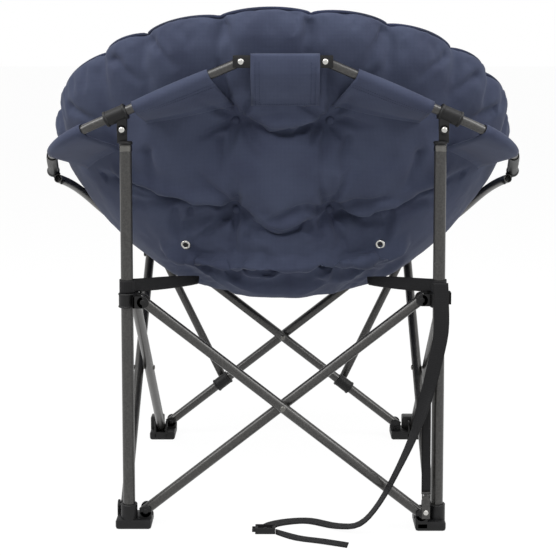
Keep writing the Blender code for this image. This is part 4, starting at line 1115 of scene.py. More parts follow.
@dataclass
class Mouldings(Trade):
    """Black moulded feet, sliders, corners, caps, collars, knuckles, clips and the ring's hub."""

    cheek: float = 0.0040
    cheek_radius: float = 0.0110
    cheek_edge: float = 0.0007
    side_gap: float = 0.0005
    snug: float = 0.0003  # gap of a sleeve that is fixed on its tube
    running: float = 0.0006  # gap of a sleeve that slides
    sleeve_radius: float = 0.0150
    post_half: float = 0.0145
    post_edge: float = 0.0030
    base_height: float = 0.0190
    base_edge: float = 0.0050
    foot_low: float = 0.0040
    foot_height: float = 0.0450
    foot_root: float = 0.0060
    plug: Pair = (0.0030, 0.0055)
    slider_height: float = 0.0260
    slider_band: Triple = (0.01118, 0.00156, 0.0010)
    fork_reach: float = 0.0177
    pin_head: Pair = (0.0048, 0.0012)
    head: Pair = (0.0055, 0.0018)
    sink: float = 0.0002
    cap_top: Triple = (0.0125, 0.0060, 0.0015)
    tongue_half: float = 0.0030
    tongue_radius: float = 0.0090
    tongue_width: float = 0.0088
    tongue_edge: float = 0.0006
    ferrule: Pair = (0.0120, 0.0012)
    ferrule_wall: Pair = (0.0001, 0.0007)
    grip_radius: float = 0.0135
    collar_half: float = 0.0210
    collar_back: float = 0.0105
    collar_band: Triple = (0.0180, 0.0025, 0.0011)
    ear_gap: float = 0.0035
    ear_rise: float = 0.8
    ball: float = 0.0125
    hinge_radius: float = 0.0078
    hinge_pin: Pair = (0.0030, 0.0004)
    cuff: float = 0.0020
    cuff_points: int = 9
    clip_half: float = 0.0180
    clip_band: Triple = (0.0155, 0.0022, 0.0009)
    clip_boss: Pair = (0.0084, 0.0080)
    hub_block: float = 0.0520
    hub_cheek: float = 0.0883
    hub_tall: float = 0.0110
    hub_edge: float = 0.0014
    hub_block_share: float = 0.9

    def build(self) -> None:
        """Make every moulding in place of its solid."""
        for title, side in SIDES.items():
            for front, where in ((False, "rear"), (True, "front")):
                self.foot(f"{title}_{where}_foot", side, front)
                self.upper(title + ("_corner" if front else "_slider"), side, front)
            self.cap(title + "_leg_cap", side)
            self.collar(title + "_arm_collar", side)
            self.knuckle(title + "_knuckle", side)
            self.clip(title + "_strut_clip", side)
        self.hub("ring_hub")

    def finish(self, node: str, bm: Mesh) -> None:
        """Dress one moulding."""
        self.shop.piece(node + "_moulding", bm, self.finishes.plastic, node)

    def banded(self, bm: Mesh, middle: Vector, reach: Vector, inner: float, outer: float,
               band: Triple) -> None:
        """Add a sleeve with a raised band near each rim.

        Args:
            bm: mesh that gets it.
            middle: middle of the sleeve.
            reach: from its middle to a rim.
            inner: inside radius.
            outer: outside radius.
            band: distance of a band from the middle, half its length, and how far it stands out.
        """
        sleeve(bm, middle, reach, inner, outer)
        way = reach.normalized()
        for face in FACES:
            sleeve(bm, middle + way * face * band[0], way * band[1], inner, outer + band[2])

    def fork(self, bm: Mesh, pin: Vector, axis: Vector, reach: Vector, backed: bool) -> None:
        """Add two cheeks with a pin head on each.

        Args:
            bm: mesh that gets them.
            pin: middle of the bar's end.
            axis: direction of the pin.
            reach: from the pin to the root of the cheeks.
            backed: whether a wall joins the cheeks behind the bar's end.
        """
        inner = self.plan.brace_radius + self.side_gap
        outer = inner + self.cheek
        across = axis.cross(reach.normalized()) * self.cheek_radius
        for face in FACES:
            near, far = pin + axis * face * inner, pin + axis * face * outer
            rounded_rod(bm, near, far, self.cheek_radius)
            root = [near + across, far - across]
            rounded_box(bm, root + [spot + reach for spot in root], self.cheek_edge)
            dome(bm, far - axis * face * self.sink, axis * face, *self.pin_head)
        if backed:
            wall = reach.normalized() * (self.fork_reach - self.cheek)
            rounded_box(bm, [pin + end + axis * face * outer + edge for end in (wall, reach) for face in FACES
                             for edge in (across, -across)], self.cheek_edge)

    def foot(self, node: str, side: int, front: bool) -> None:
        """Make one foot: floor plate, two forks and a socket or post.

        Args:
            node: CAD node that it stands for.
            side: -1 for left, 1 for right.
            front: whether it is a front one.
        """
        plan = self.plan
        bm = bmesh.new()
        lateral, fore = plan.pins(side, front, False)
        low, high = (Vector(corner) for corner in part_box(node))
        rounded_box(bm, [low, Vector((high.x, high.y, self.base_height))], self.base_edge)
        drop = Z_AXIS * (self.foot_root - plan.low)
        self.fork(bm, lateral, Y_AXIS, drop, False)
        self.fork(bm, fore, X_AXIS, drop, False)
        bottom, top = (plan.corner(side, front, height) for height in (self.foot_low, self.foot_height))
        if front:
            corner = Vector((self.post_half, self.post_half, 0))
            rounded_box(bm, [bottom + corner, top - corner], self.post_edge)
        else:
            inner = plan.leg_radius + self.snug
            sleeve(bm, (bottom + top) / 2, (top - bottom) / 2, inner, self.sleeve_radius)
            ends = [plan.corner(side, front, height) for height in self.plug]
            rounded_rod(bm, *ends, self.sleeve_radius - MM)
        self.finish(node, bm)

    def upper(self, node: str, side: int, front: bool) -> None:
        """Make one upper corner: a slider on its leg, or a front corner block.

        Args:
            node: CAD node that it stands for.
            side: -1 for left, 1 for right.
            front: whether it is a front one.
        """
        plan = self.plan
        bm = bmesh.new()
        lateral, fore = plan.pins(side, front, True)
        middle = plan.corner(side, front, plan.high)
        tall = Z_AXIS * self.slider_height / 2
        if front:
            corner = Vector((self.post_half, self.post_half, 0))
            rounded_box(bm, [middle + corner + tall, middle - corner - tall], self.post_edge)
        else:
            inner = plan.leg_radius + self.running
            self.banded(bm, middle, tall, inner, self.sleeve_radius, self.slider_band)
        self.fork(bm, lateral, Y_AXIS, X_AXIS * side * self.fork_reach, True)
        self.fork(bm, fore, X_AXIS, Y_AXIS * (self.fork_reach if front else -self.fork_reach), True)
        self.finish(node, bm)

    def cap(self, node: str, side: int) -> None:
        """Make the plug and tongue on a leg's top, with a bright ferrule below it.

        Args:
            node: CAD node that it stands for.
            side: -1 for left, 1 for right.
        """
        plan = self.plan
        bm = bmesh.new()
        pivot = plan.sided(plan.arm_pivot, side)
        top = plan.corner(side, False, plan.leg_top + self.snug)
        radius, height, edge = self.cap_top
        rounded_rod(bm, top, top + Z_AXIS * height, radius, edge)
        thick, wide = Y_AXIS * self.tongue_half, X_AXIS * self.tongue_width
        rounded_rod(bm, pivot - thick, pivot + thick, self.tongue_radius)
        stem = Vector((pivot.x, pivot.y, top.z + height / 2))
        rounded_box(bm, [stem - wide - thick, pivot + wide + thick], self.tongue_edge)
        self.finish(node, bm)
        # The ferrule is bright nickel: the darker steel it gets here is painted shade for its dark sides.
        ring = bmesh.new()
        low, high = (top - Z_AXIS * drop for drop in self.ferrule)
        inner, outer = (plan.leg_radius + wall for wall in self.ferrule_wall)
        sleeve(ring, (low + high) / 2, (high - low) / 2, inner, outer)
        self.shop.piece(node + "_ferrule", ring, self.finishes.rivet, node, replaces=False)

    def collar(self, node: str, side: int) -> None:
        """Make the collar on a ring arm with its two ears.

        Args:
            node: CAD node that it stands for.
            side: -1 for left, 1 for right.
        """
        plan = self.plan
        bm = bmesh.new()
        way, place = plan.arm_line(side)[1:]
        pivot = plan.sided(plan.arm_pivot, side)
        self.banded(bm, place - way * self.collar_back, way * self.collar_half, plan.ring_radius + self.snug,
                    self.grip_radius, self.collar_band)
        wide, rise = X_AXIS * self.tongue_width, Z_AXIS * plan.arm_lift * self.ear_rise
        for face in FACES:
            near = pivot + Y_AXIS * face * self.ear_gap
            far = near + Y_AXIS * face * self.cheek
            rounded_rod(bm, near, far, self.tongue_radius)
            rounded_box(bm, [near - wide, far + wide, far + rise], self.cheek_edge)
        self.finish(node, bm)

    def knuckle(self, node: str, side: int) -> None:
        """Make the knuckle: a ball with a cuff on the arm and a pin through the rail.

        Args:
            node: CAD node that it stands for.
            side: -1 for left, 1 for right.
        """
        plan = self.plan
        bm = bmesh.new()
        ball = plan.knuckle_ball(side)
        axis = plan.heading(plan.hinge_heading, side)
        along = plan.heading(plan.arm_heading, side)
        bmesh.ops.create_uvsphere(bm, u_segments=28, v_segments=18, radius=self.ball,
                                  matrix=Matrix.Translation(ball))
        rounded_rod(bm, ball, ball + axis * (plan.hinge_standoff - plan.tube_end), self.hinge_radius)
        tip = plan.hinge_standoff + plan.ring_radius
        rounded_rod(bm, ball, ball + axis * (tip + MM), *self.hinge_pin)
        dome(bm, ball + axis * (tip + MM / 2), axis, *self.head)
        cuff = plan.arm_path(side)[-self.cuff_points:] + [ball - along * self.cheek]
        sweep(bm, cuff, plan.ring_radius + self.cuff)
        self.finish(node, bm)

    def clip(self, node: str, side: int) -> None:
        """Make the clip on the front scissor that carries a strut.

        Args:
            node: CAD node that it stands for.
            side: -1 for left, 1 for right.
        """
        plan = self.plan
        bm = bmesh.new()
        low, high = plan.pins(side, True, False)[0], plan.pins(-side, True, True)[0]
        way = (high - low).normalized()
        pin = plan.sided(plan.strut_low, side)
        grip = low + way * (pin - low).dot(way)
        self.banded(bm, grip, way * self.clip_half, plan.brace_radius + self.snug, self.grip_radius,
                    self.clip_band)
        radius, out = self.clip_boss
        face = pin - Y_AXIS * (plan.ring_radius + self.side_gap)
        rounded_rod(bm, Vector((pin.x, grip.y + out, pin.z)), face, radius)
        dome(bm, pin + Y_AXIS * plan.ring_radius, Y_AXIS, *self.head)
        self.finish(node, bm)

    def hub(self, node: str) -> None:
        """Make the ring's hub: a block between two long cheeks.

        Args:
            node: CAD node that it stands for.
        """
        plan = self.plan
        bm = bmesh.new()
        middle = plan.at(0, *plan.hub_pin[1:])
        outer = plan.ring_radius + plan.hub_wall
        inner = outer - self.cheek
        tall, wide = Z_AXIS * self.hub_tall, X_AXIS * self.hub_cheek
        block = X_AXIS * self.hub_block + Y_AXIS * inner + tall * self.hub_block_share
        rounded_box(bm, [middle - block, middle + block], self.tongue_edge)
        for face in FACES:
            near, far = middle + Y_AXIS * face * inner, middle + Y_AXIS * face * outer
            rounded_box(bm, [near - wide - tall, far + wide + tall], self.hub_edge)
        self.finish(node, bm)


@dataclass
class Rivets(Trade):
    """Steel rivets with domed heads."""

    shank: Pair = (0.0030, 0.0003)
    head: Pair = (0.0055, 0.0024)
    bar_gap: float = 0.0005
    ear_grip: float = 0.0075
    stand: float = 0.0002

    def build(self) -> None:
        """Make every rivet in place of its solid."""
        plan = self.plan
        mid = (plan.low + plan.high) / 2
        bars = 2 * plan.brace_radius + self.bar_gap
        dull, bright = self.finishes.rivet, self.finishes.steel
        self.rivet("rear_rivet", plan.at(0, 0, mid), Y_AXIS, bars, dull)
        self.rivet("front_rivet", plan.at(0, plan.depth, mid), Y_AXIS, bars, dull)
        for title, side in SIDES.items():
            cross = plan.at(side * plan.half, plan.depth / 2, mid)
            self.rivet(title + "_side_rivet", cross, X_AXIS, bars, dull)
            self.rivet(title + "_leg_rivet", plan.sided(plan.arm_pivot, side), Y_AXIS, self.ear_grip, bright)
            self.rivet(title + "_hub_rivet", plan.sided(plan.hub_pin, side), Y_AXIS,
                       plan.ring_radius + plan.hub_wall, bright)

    def rivet(self, node: str, middle: Vector, axis: Vector, grip: float, coat: Coat) -> None:
        """Make one rivet.

        Args:
            node: CAD node that it stands for.
            middle: middle of the grip.
            axis: direction of the shank.
            grip: how far it grips to each side.
            coat: its finish.
        """
        bm = bmesh.new()
        seat = axis * (grip + self.stand)
        rounded_rod(bm, middle - seat, middle + seat, *self.shank)
        for face in FACES:
            dome(bm, middle + seat * face, axis * face, *self.head)
        self.shop.piece(node + "_steel", bm, coat, node)


def bell(distance: float, width: float) -> float:
    """A smooth bump: 1 at its middle, and near 0 two widths away."""
    return math.exp(-(distance / width) ** 2)


@dataclass
class BowlCushion(Trade):
    """Tufted bowl cushion with a scalloped rim, blown up by a cloth simulation."""

    back: Pair = (0.024, 0.942)
    front: Pair = (0.650, 0.495)
    bottom: Pair = (0.2912, 0.4260)
    reach: float = 0.448
    spread: float = 0.80
    flat_share: float = 0.26
    curl: float = 1.80
    half_thickness: float = 0.034
    crown: float = 0.42
    opening: Triple = (0.0, 0.59, 0.81)
    blank_step: float = 0.01
    notches: tuple[float, ...] = (
        6.7, 26, 46, 61, 80, 98, 116, 134, 152, 170, 190, 208, 226, 244, 262, 281, 311, 325, 344.7)
    notch_depth: float = 0.045
    notch_round: float = 0.55
    notch_fade: int = 9
    notch_pinch: Triple = (0.55, 0.84, 0.14)  # share drawn in, from which depth, and over how much of it
    notch_width: float = 0.012
    gather: tuple[float, ...] = (0.012, 0.085, 0.0105, 0.0090)  # start, end, depth and width at a notch
    gather_aim: Pair = (0.0, 0.60)
    tufts: tuple[Pair, ...] = ((-0.087, 0.566), (0.087, 0.566), (-0.087, 0.738), (0.087, 0.738))
    tuft_names: tuple[str, ...] = ("left_lower", "right_lower", "left_upper", "right_upper")
    tuft_pull: float = 0.62
    seat_tufts: tuple[Pair, ...] = ((-0.11, 0.24), (0.11, 0.24), (-0.11, 0.42), (0.11, 0.42))
    seat_tuft_pull: float = 0.45
    seat_depth: float = 0.7
    tuft_spread: float = 0.030
    back_zone: float = 0.200
    rear_facing: float = 0.1  # faces whose normal has less Y than this look to the rear
    hem_height: float = 0.4500
    hem_half: float = 0.200
    hem_fade: float = 0.012
    hem_waves: tuple[Triple, ...] = ((0.003, 55, 0), (0.002, 131, 1))  # height, turns per metre and offset
    hem_lip: Triple = (0.34, 0.022, 0.016)  # share of the thickness, height above the hem and width
    hem_groove: Pair = (0.62, 0.006)
    hem_thinner: float = 0.16
    hem_strength: float = 2.3
    overlaps: tuple[tuple[Pair, ...], ...] = (
        ((-0.330, 0.628), (-0.230, 0.590), (-0.150, 0.574), (-0.087, 0.566)),
        ((0.087, 0.566), (0.140, 0.546), (0.190, 0.560), (0.330, 0.620)),
        ((-0.087, 0.738), (-0.020, 0.724), (0.020, 0.718), (0.087, 0.738)),
        ((-0.070, 0.548), (-0.010, 0.522), (0.030, 0.534), (0.070, 0.554)))
    hem_line: tuple[Pair, ...] = (
        (-0.240, 0.474), (-0.190, 0.456), (-0.110, 0.446), (-0.050, 0.453), (0.020, 0.446), (0.080, 0.455),
        (0.140, 0.447), (0.200, 0.462), (0.250, 0.486))
    folds: tuple[tuple[Any, ...], ...] = (  # deep end, shallow end, depth and width
        ((-0.087, 0.566), (-0.300, 0.592), 0.020, 0.009), ((-0.087, 0.566), (-0.005, 0.530), 0.016, 0.008),
        ((0.030, 0.572), (-0.050, 0.538), 0.014, 0.008), ((0.087, 0.566), (0.300, 0.604), 0.020, 0.009),
        ((0.087, 0.566), (0.005, 0.582), 0.016, 0.008))
    panel_folds: tuple[tuple[Any, ...], ...] = (  # the same, for the right side, drawn on both
        ((0.254, 0.674), (0.230, 0.595), 0.012, 0.010), ((0.202, 0.556), (0.191, 0.479), 0.010, 0.010),
        ((0.171, 0.556), (0.164, 0.527), 0.012, 0.007), ((0.115, 0.705), (0.118, 0.626), 0.012, 0.008),
        ((0.091, 0.580), (0.095, 0.647), 0.012, 0.008), ((0.075, 0.730), (0.045, 0.690), 0.014, 0.008))
    tuft_rays: tuple[tuple[int, float, float], ...] = (  # which tuft, degrees and length
        (3, 40, 0.13), (3, 85, 0.12), (3, 140, 0.08), (3, 182, 0.10), (3, 250, 0.09), (3, 295, 0.08),
        (3, 345, 0.09), (1, 55, 0.11), (1, 100, 0.08), (1, 235, 0.08), (1, 285, 0.10), (1, 330, 0.12))
    ray_lean: float = 9.0
    ray_size: Pair = (0.0160, 0.0074)
    ripples: tuple[Pair, ...] = ((17, 0.0026), (41, 0.0009))  # turns per metre and height
    wander: Triple = (30, 9, 0.006)  # turns per metre, offset and distance by which folds stray
    voxel: float = 0.0078
    pressure: float = 4.0
    frames: int = 12
    most_move: float = 0.012
    piping_radius: float = 0.0034
    rim_points: int = 432
    rim_hold: float = 0.006
    tuft_hold: float = 0.010
    hem_hold: float = 0.8
    crush_anchor: Triple = (0.0, 0.2, 0.6)
    eyelet: Pair = (0.186, 0.494)
    button_profile: tuple[Pair, ...] = (
        (0, -0.0010), (0.0058, -0.0010), (0.0080, 0.0012), (0.0070, 0.0030), (0.0040, 0.0042), (0, 0.0046))
    eyelet_profile: tuple[Pair, ...] = (
        (0.0046, -0.0010), (0.0098, -0.0010), (0.0100, 0.0006), (0.0084, 0.0022), (0.0062, 0.0024),
        (0.0048, 0.0014))
    backing_profile: tuple[Pair, ...] = ((0, -0.0008), (0.0050, -0.0008), (0.0050, 0.0004), (0, 0.0004))

    def creases(self) -> list[tuple[Vector, Vector, float, float]]:
        """Drawn-in lines of the rear face.

        Returns:
            Ends of each line in X and Z, depth at its first end, and width.
        """
        lines = list(self.folds)
        for side in SIDES.values():
            for tuft, degrees, length in self.tuft_rays:
                x, z = self.tufts[tuft]
                turn = math.radians(degrees + self.ray_lean * side)
                tip = (side * (x + length * math.cos(turn)), z + length * math.sin(turn))
                lines.append(((side * x, z), tip, *self.ray_size))
            for (x0, z0), (x1, z1), depth, width in self.panel_folds:
                lines.append(((side * x0, z0), (side * x1, z1), depth, width))
        start, end, depth, width = self.gather
        for notch in self.notches:
            rim = self.rim(math.radians(90 - notch))
            edge = Vector((rim.x, rim.z))
            inward = (Vector(self.gather_aim) - edge).normalized()
            lines.append((edge + inward * start, edge + inward * end, depth, width))
        return [(Vector((*a, 0)), Vector((*b, 0)), depth, width) for a, b, depth, width in lines]

    def lobe(self, turn: float) -> Pair:
        """Where an angle lies between two notches.

        Args:
            turn: angle round the bowl, from +X towards the back.

        Returns:
            Share of the way between the notches, from 0 to 1, and the angle to the nearer one.
        """
        angle = (90 - math.degrees(turn)) % 360
        after = next((notch for notch in self.notches if notch > angle), self.notches[0] + 360)
        before = max((notch for notch in self.notches if notch <= angle), default=self.notches[-1] - 360)
        share = (angle - before) / (after - before)
        return share, math.radians(min(angle - before, after - angle))

    def rim(self, turn: float, notched: float = 1.0) -> Vector:
        """Edge of the bowl at an angle.

        Args:
            turn: angle round the bowl.
            notched: share of the notches' depth.

        Returns:
            The place on the rim.
        """
        back, front = self.plan.at(0, *self.back), self.plan.at(0, *self.front)
        share = self.lobe(turn)[0]
        pull = 1 - notched * self.notch_depth * (1 - math.sin(math.pi * share) ** self.notch_round)
        out = (back - front) / 2 * math.sin(turn) + X_AXIS * self.reach * math.cos(turn)
        return (back + front) / 2 + out * pull

    def middle(self, turn: float, depth: float) -> Vector:
        """Middle of the padding.

        Args:
            turn: angle round the bowl.
            depth: share of the way from the bottom to the rim.

        Returns:
            The place.
        """
        bottom = self.plan.at(0, *self.bottom)
        run = self.rim(turn, min(1.0, depth) ** self.notch_fade) - bottom
        share = depth ** self.spread
        flat = run * share
        rise = max(0.0, (share - self.flat_share) / (1 - self.flat_share)) ** self.curl
        return Vector((bottom.x + flat.x, bottom.y + flat.y, bottom.z + run.z * rise))

    def hem(self, spot: Vector) -> float:
        """Thickness about the hem, where the back's padding hangs over the seat's.

        Args:
            spot: place in the padding.

        Returns:
            Share of the full thickness.
        """
        waves = sum(height * math.sin(spot.x * turns + offset) for height, turns, offset in self.hem_waves)
        above = spot.z - self.hem_height - waves
        inside = 1 / (1 + math.exp((abs(spot.x) - self.hem_half) / self.hem_fade))
        lip = self.hem_lip[0] * bell(above - self.hem_lip[1], self.hem_lip[2])
        groove = self.hem_groove[0] * bell(above, self.hem_groove[1])
        return 1 + inside * (lip - groove - (self.hem_thinner if above < 0 else 0.0))

    def drawn_in(self, spot: Vector, outer: bool, turn: float, depth: float) -> float:
        """Share of the full thickness that is left at a place.

        Args:
            spot: place in the middle of the padding.
            outer: whether the face looks away from the sitter.
            turn: angle round the bowl.
            depth: share of the way from the bottom to the rim.

        Returns:
            The share, 1 where nothing draws the cover in.
        """
        plan_y = spot.y - self.plan.rear_y
        pinch, start, over = self.notch_pinch
        ramp = min(1.0, max(0.0, (depth - start) / over))
        share = 1 - pinch * ramp * bell(self.lobe(turn)[1] * self.reach * depth, self.notch_width)
        if plan_y < self.back_zone:
            for x, z in self.tufts:
                share *= 1 - self.tuft_pull * bell(math.hypot(spot.x - x, spot.z - z), self.tuft_spread)
            if outer:
                share *= self.hem(spot)
        elif depth < self.seat_depth and not outer:
            for x, y in self.seat_tufts:
                share *= 1 - self.seat_tuft_pull * bell(math.hypot(spot.x - x, plan_y - y), self.tuft_spread)
        return share

    def blank(self) -> Piece:
        """Press a sphere into the bowl, so that its equator becomes the rim.

        Returns:
            The pressed padding.
        """
        bm = bmesh.new()
        bmesh.ops.create_uvsphere(bm, u_segments=288, v_segments=112, radius=1)
        step = self.blank_step
        for vert in bm.verts:
            depth = min(1.0, math.hypot(vert.co.x, vert.co.y))
            turn = math.atan2(vert.co.y, vert.co.x)
            spot = self.middle(turn, depth)
            near = max(depth, 4 * step)
            along = self.middle(turn, near + step) - self.middle(turn, near - step)
            around = self.middle(turn + step, near) - self.middle(turn - step, near)
            outward = along.cross(around).normalized() if depth > step else Z_AXIS.copy()
            if outward.dot(Vector(self.opening)) < 0:
                outward.negate()
            half = self.half_thickness * abs(vert.co.z) ** self.crown
            half *= self.drawn_in(spot, vert.co.z < 0, turn, depth)
            vert.co = spot + outward * math.copysign(half, vert.co.z)
        if bm.calc_volume(signed=True) < 0:
            bmesh.ops.reverse_faces(bm, faces=bm.faces)
        return self.shop.object("cushion_padding", bm, self.finishes.cloth.material)

    def held(self, spot: Vector, edge: BVHTree) -> float:
        """How firmly sewing holds a point of the cover.

        Args:
            spot: place on the cover.
            edge: search tree of the rim.

        Returns:
            Share from 0 to 1.
        """
        if edge.find_nearest(spot)[3] < self.rim_hold:
            return 1.0
        if spot.y - self.plan.rear_y > self.back_zone:
            return 0.0
        if any(math.hypot(spot.x - x, spot.z - z) < self.tuft_hold for x, z in self.tufts):
            return 1.0
        if abs(spot.z - self.hem_height) < self.rim_hold and abs(spot.x) < self.hem_half:
            return self.hem_hold
        return 0.0

    def baked(self, pad: Piece) -> bpy.types.Mesh:
        """Make what a piece's modifiers show its own mesh.

        Args:
            pad: the cushion's padding.

        Returns:
            The new mesh.
        """
        view = bpy.context.evaluated_depsgraph_get()
        mesh = bpy.data.meshes.new_from_object(pad.evaluated_get(view))
        pad.modifiers.clear()
        pad.data = mesh
        return mesh

    def inflate(self, pad: Piece) -> None:
        """Blow the cover up with air pressure, its sewing held.

        Args:
            pad: the cushion's padding.
        """
        scene = bpy.context.scene
        skin = pad.modifiers.new("skin", "REMESH")
        skin.mode = "VOXEL"
        skin.voxel_size = self.voxel
        mesh = self.baked(pad)
        rest = [vert.co.copy() for vert in mesh.vertices]
        sewing = pad.vertex_groups.new(name="sewing")
        edge = self.rim_tree()
        for index, spot in enumerate(rest):
            sewing.add([index], self.held(spot, edge), "REPLACE")
        cloth = pad.modifiers.new("cover", "CLOTH")
        for name, value in {"quality": 3, "mass": 0.25, "tension_stiffness": 18, "compression_stiffness": 18,
                            "shear_stiffness": 6, "bending_stiffness": 0.35, "vertex_group_mass": "sewing",
                            "use_pressure": True, "uniform_pressure_force": self.pressure,
                            "shrink_min": -0.045}.items():
            setattr(cloth.settings, name, value)
        cloth.settings.effector_weights.gravity = 0
        cloth.collision_settings.use_collision = False
        cloth.point_cache.frame_start = 1
        cloth.point_cache.frame_end = self.frames
        for frame in range(1, self.frames + 1):
            scene.frame_set(frame)
        view = bpy.context.evaluated_depsgraph_get()
        blown = [vert.co.copy() for vert in pad.evaluated_get(view).data.vertices]
        pad.modifiers.clear()
        for vert, start, end in zip(mesh.vertices, rest, blown):
            move = end - start
            if move.length > self.most_move:
                move *= self.most_move / move.length
            vert.co = start + move
        scene.frame_set(1)

    def crease(self, pad: Piece) -> None:
        """Subdivide the blown padding once and press the folds of the cover into it.

        Args:
            pad: the cushion's padding.
        """
        finer = pad.modifiers.new("finer", "SUBSURF")
        finer.levels = finer.render_levels = 1
        mesh = self.baked(pad)
        folds = self.creases()
        turns, offset, far = self.wander
        moves = []
        for vert in mesh.vertices:
            spot = vert.co
            soft = sum(noise.noise(spot * scale) * height for scale, height in self.ripples)
            if spot.y - self.plan.rear_y < self.back_zone and vert.normal.y < self.rear_facing:
                stray = noise.noise(spot * turns), noise.noise(spot * turns + X_AXIS * offset), 0
                flat = Vector((spot.x, spot.z, 0)) + Vector(stray) * far
                soft -= max(fold_depth(flat, *fold) for fold in folds)
                soft += sum(overlap_height(flat, line) for line in self.overlaps)
                soft += self.hem_strength * overlap_height(flat, self.hem_line)
            moves.append(vert.co + vert.normal * soft)
        for vert, spot in zip(mesh.vertices, moves):
            vert.co = spot

    def rim_line(self) -> list[Vector]:
        """Points round the rim, with the first repeated at the end."""
        return [self.rim(FULL_TURN * step / self.rim_points) for step in range(self.rim_points + 1)]

    def rim_tree(self) -> BVHTree:
        """Search tree of the rim as a thin band.

        Returns:
            The tree.
        """
        line = self.rim_line()
        lifted = [spot + Z_AXIS * MM / 2 for spot in line]
        faces = [(i, i + 1, len(line) + i + 1, len(line) + i) for i in range(len(line) - 1)]
        return BVHTree.FromPolygons(line + lifted, faces)

    def build(self) -> BVHTree:
        """Make the cushion and its piping, buttons and eyelets.

        Returns:
            Search tree of the finished cushion, for the covers that lie on it.
        """
        pad = self.blank()
        self.inflate(pad)
        self.crease(pad)
        pad.data.shade_smooth()
        bm = bmesh.new()
        bm.from_mesh(pad.data)
        bmesh.ops.smooth_vert(bm, verts=bm.verts, factor=0.25, use_axis_x=True, use_axis_y=True,
                              use_axis_z=True)
        bm.to_mesh(pad.data)
        surface = BVHTree.FromBMesh(bm)
        bm.free()
        self.shop.settle(pad, "cushion", Slot.CLOTH)
        self.crush(pad)
        self.piping()
        self.trim(surface)
        return surface

    def crush(self, piece: Piece) -> None:
        """Give a soft piece its own copy of its mesh."""
        tuple(self.plan.at(*self.crush_anchor))
        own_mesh(piece)

    def piping(self) -> None:
        """Sew a dark cord round the rim."""
        bm = bmesh.new()
        sweep(bm, self.rim_line(), self.piping_radius, 10)
        self.crush(self.shop.piece("cushion_piping", bm, self.finishes.piping, "cushion", replaces=False))

    def stud(self, name: str, profile: Sequence[Pair], seat: tuple[Vector, Vector], steps: int,
             *looks: Any) -> None:
        """Turn one small piece on the cushion.

        Args:
            name: the piece's name.
            profile: (radius, height) points.
            seat: where it sits, and which way it looks.
            steps: sides of the turned shape.
            looks: its finish, its node, whether it replaces that, and its sharp angle.
        """
        bm = bmesh.new()
        turned(bm, profile, *seat, steps)
        self.crush(self.shop.piece(name, bm, *looks))

    def trim(self, surface: BVHTree) -> None:
        """Seat the tuft buttons and eyelets on the cushion's rear face.

        Args:
            surface: search tree of the finished cushion.
        """
        cloth, steel, plastic = self.finishes.cloth, self.finishes.steel, self.finishes.plastic
        for (x, z), node in zip(self.tufts, self.tuft_names):
            self.stud(node + "_button_cloth", self.button_profile, behind(surface, x, z), 24, cloth,
                      node + "_button", True, 70)
        for title, side in SIDES.items():
            seat = behind(surface, side * self.eyelet[0], self.eyelet[1])
            node = title + "_grommet"
            self.stud(node + "_eyelet", self.eyelet_profile, seat, 32, steel, node, True, 60)
            self.stud(title + "_eyelet_backing", self.backing_profile, seat, 24, plastic, node, False)


def fold_depth(flat: Vector, start: Vector, end: Vector, deep: float, wide: float) -> float:
    """How far a fold presses the cover in at a place.

    Args:
        flat: the place, in X and Z.
        start: deep end of the fold.
        end: shallow end of the fold.
        deep: depth at the deep end.
        wide: half width of the fold.

    Returns:
        Depth in metres.
    """
    along = min(1.0, max(0.0, intersect_point_line(flat, start, end)[1]))
    gap = (flat - start.lerp(end, along)).length
    return deep * (1 - along) ** FOLD_TAPER * bell(gap, wide) if gap < 3 * wide else 0.0


def overlap_height(flat: Vector, line: Sequence[Pair]) -> float:
    """How far the cover stands out beside a fold that hangs over the cloth below it.

    Args:
        flat: the place, in X and Z.
        line: points of the fold in X and Z, from left to right.

    Returns:
        Height in metres, below zero in the fold and under it.
    """
    for (x0, z0), (x1, z1) in zip(line, line[1:]):
        if x0 <= flat.x <= x1:
            above = flat.y - (z0 + (z1 - z0) * (flat.x - x0) / (x1 - x0))
            ends = min(1.0, (flat.x - line[0][0]) / OVERLAP_FADE, (line[-1][0] - flat.x) / OVERLAP_FADE)
            return ends * sum(height * bell(above - place, width) for height, place, width in OVERLAP_SHAPE)
    return 0.0


def behind(surface: BVHTree, x: float, z: float) -> tuple[Vector, Vector]:
    """Point and outward direction on the cushion's rear face, seen from behind."""
    spot, normal, face, distance = surface.ray_cast(Vector((x, -2, z)), Y_AXIS)
    return spot, normal


def point_along(line: Sequence[Vector], distance: float) -> tuple[Vector, Vector]:
    """Point and direction at a distance along a line.

    Args:
        line: points of the line.
        distance: how far along it.

    Returns:
        The point, and the direction there.
    """
    for first, second in zip(line, line[1:]):
        length = (second - first).length
        if distance <= length and length > 0:
            return first.lerp(second, distance / length), (second - first) / length
        distance -= length
    return line[-1].copy(), (line[-1] - line[-2]).normalized()


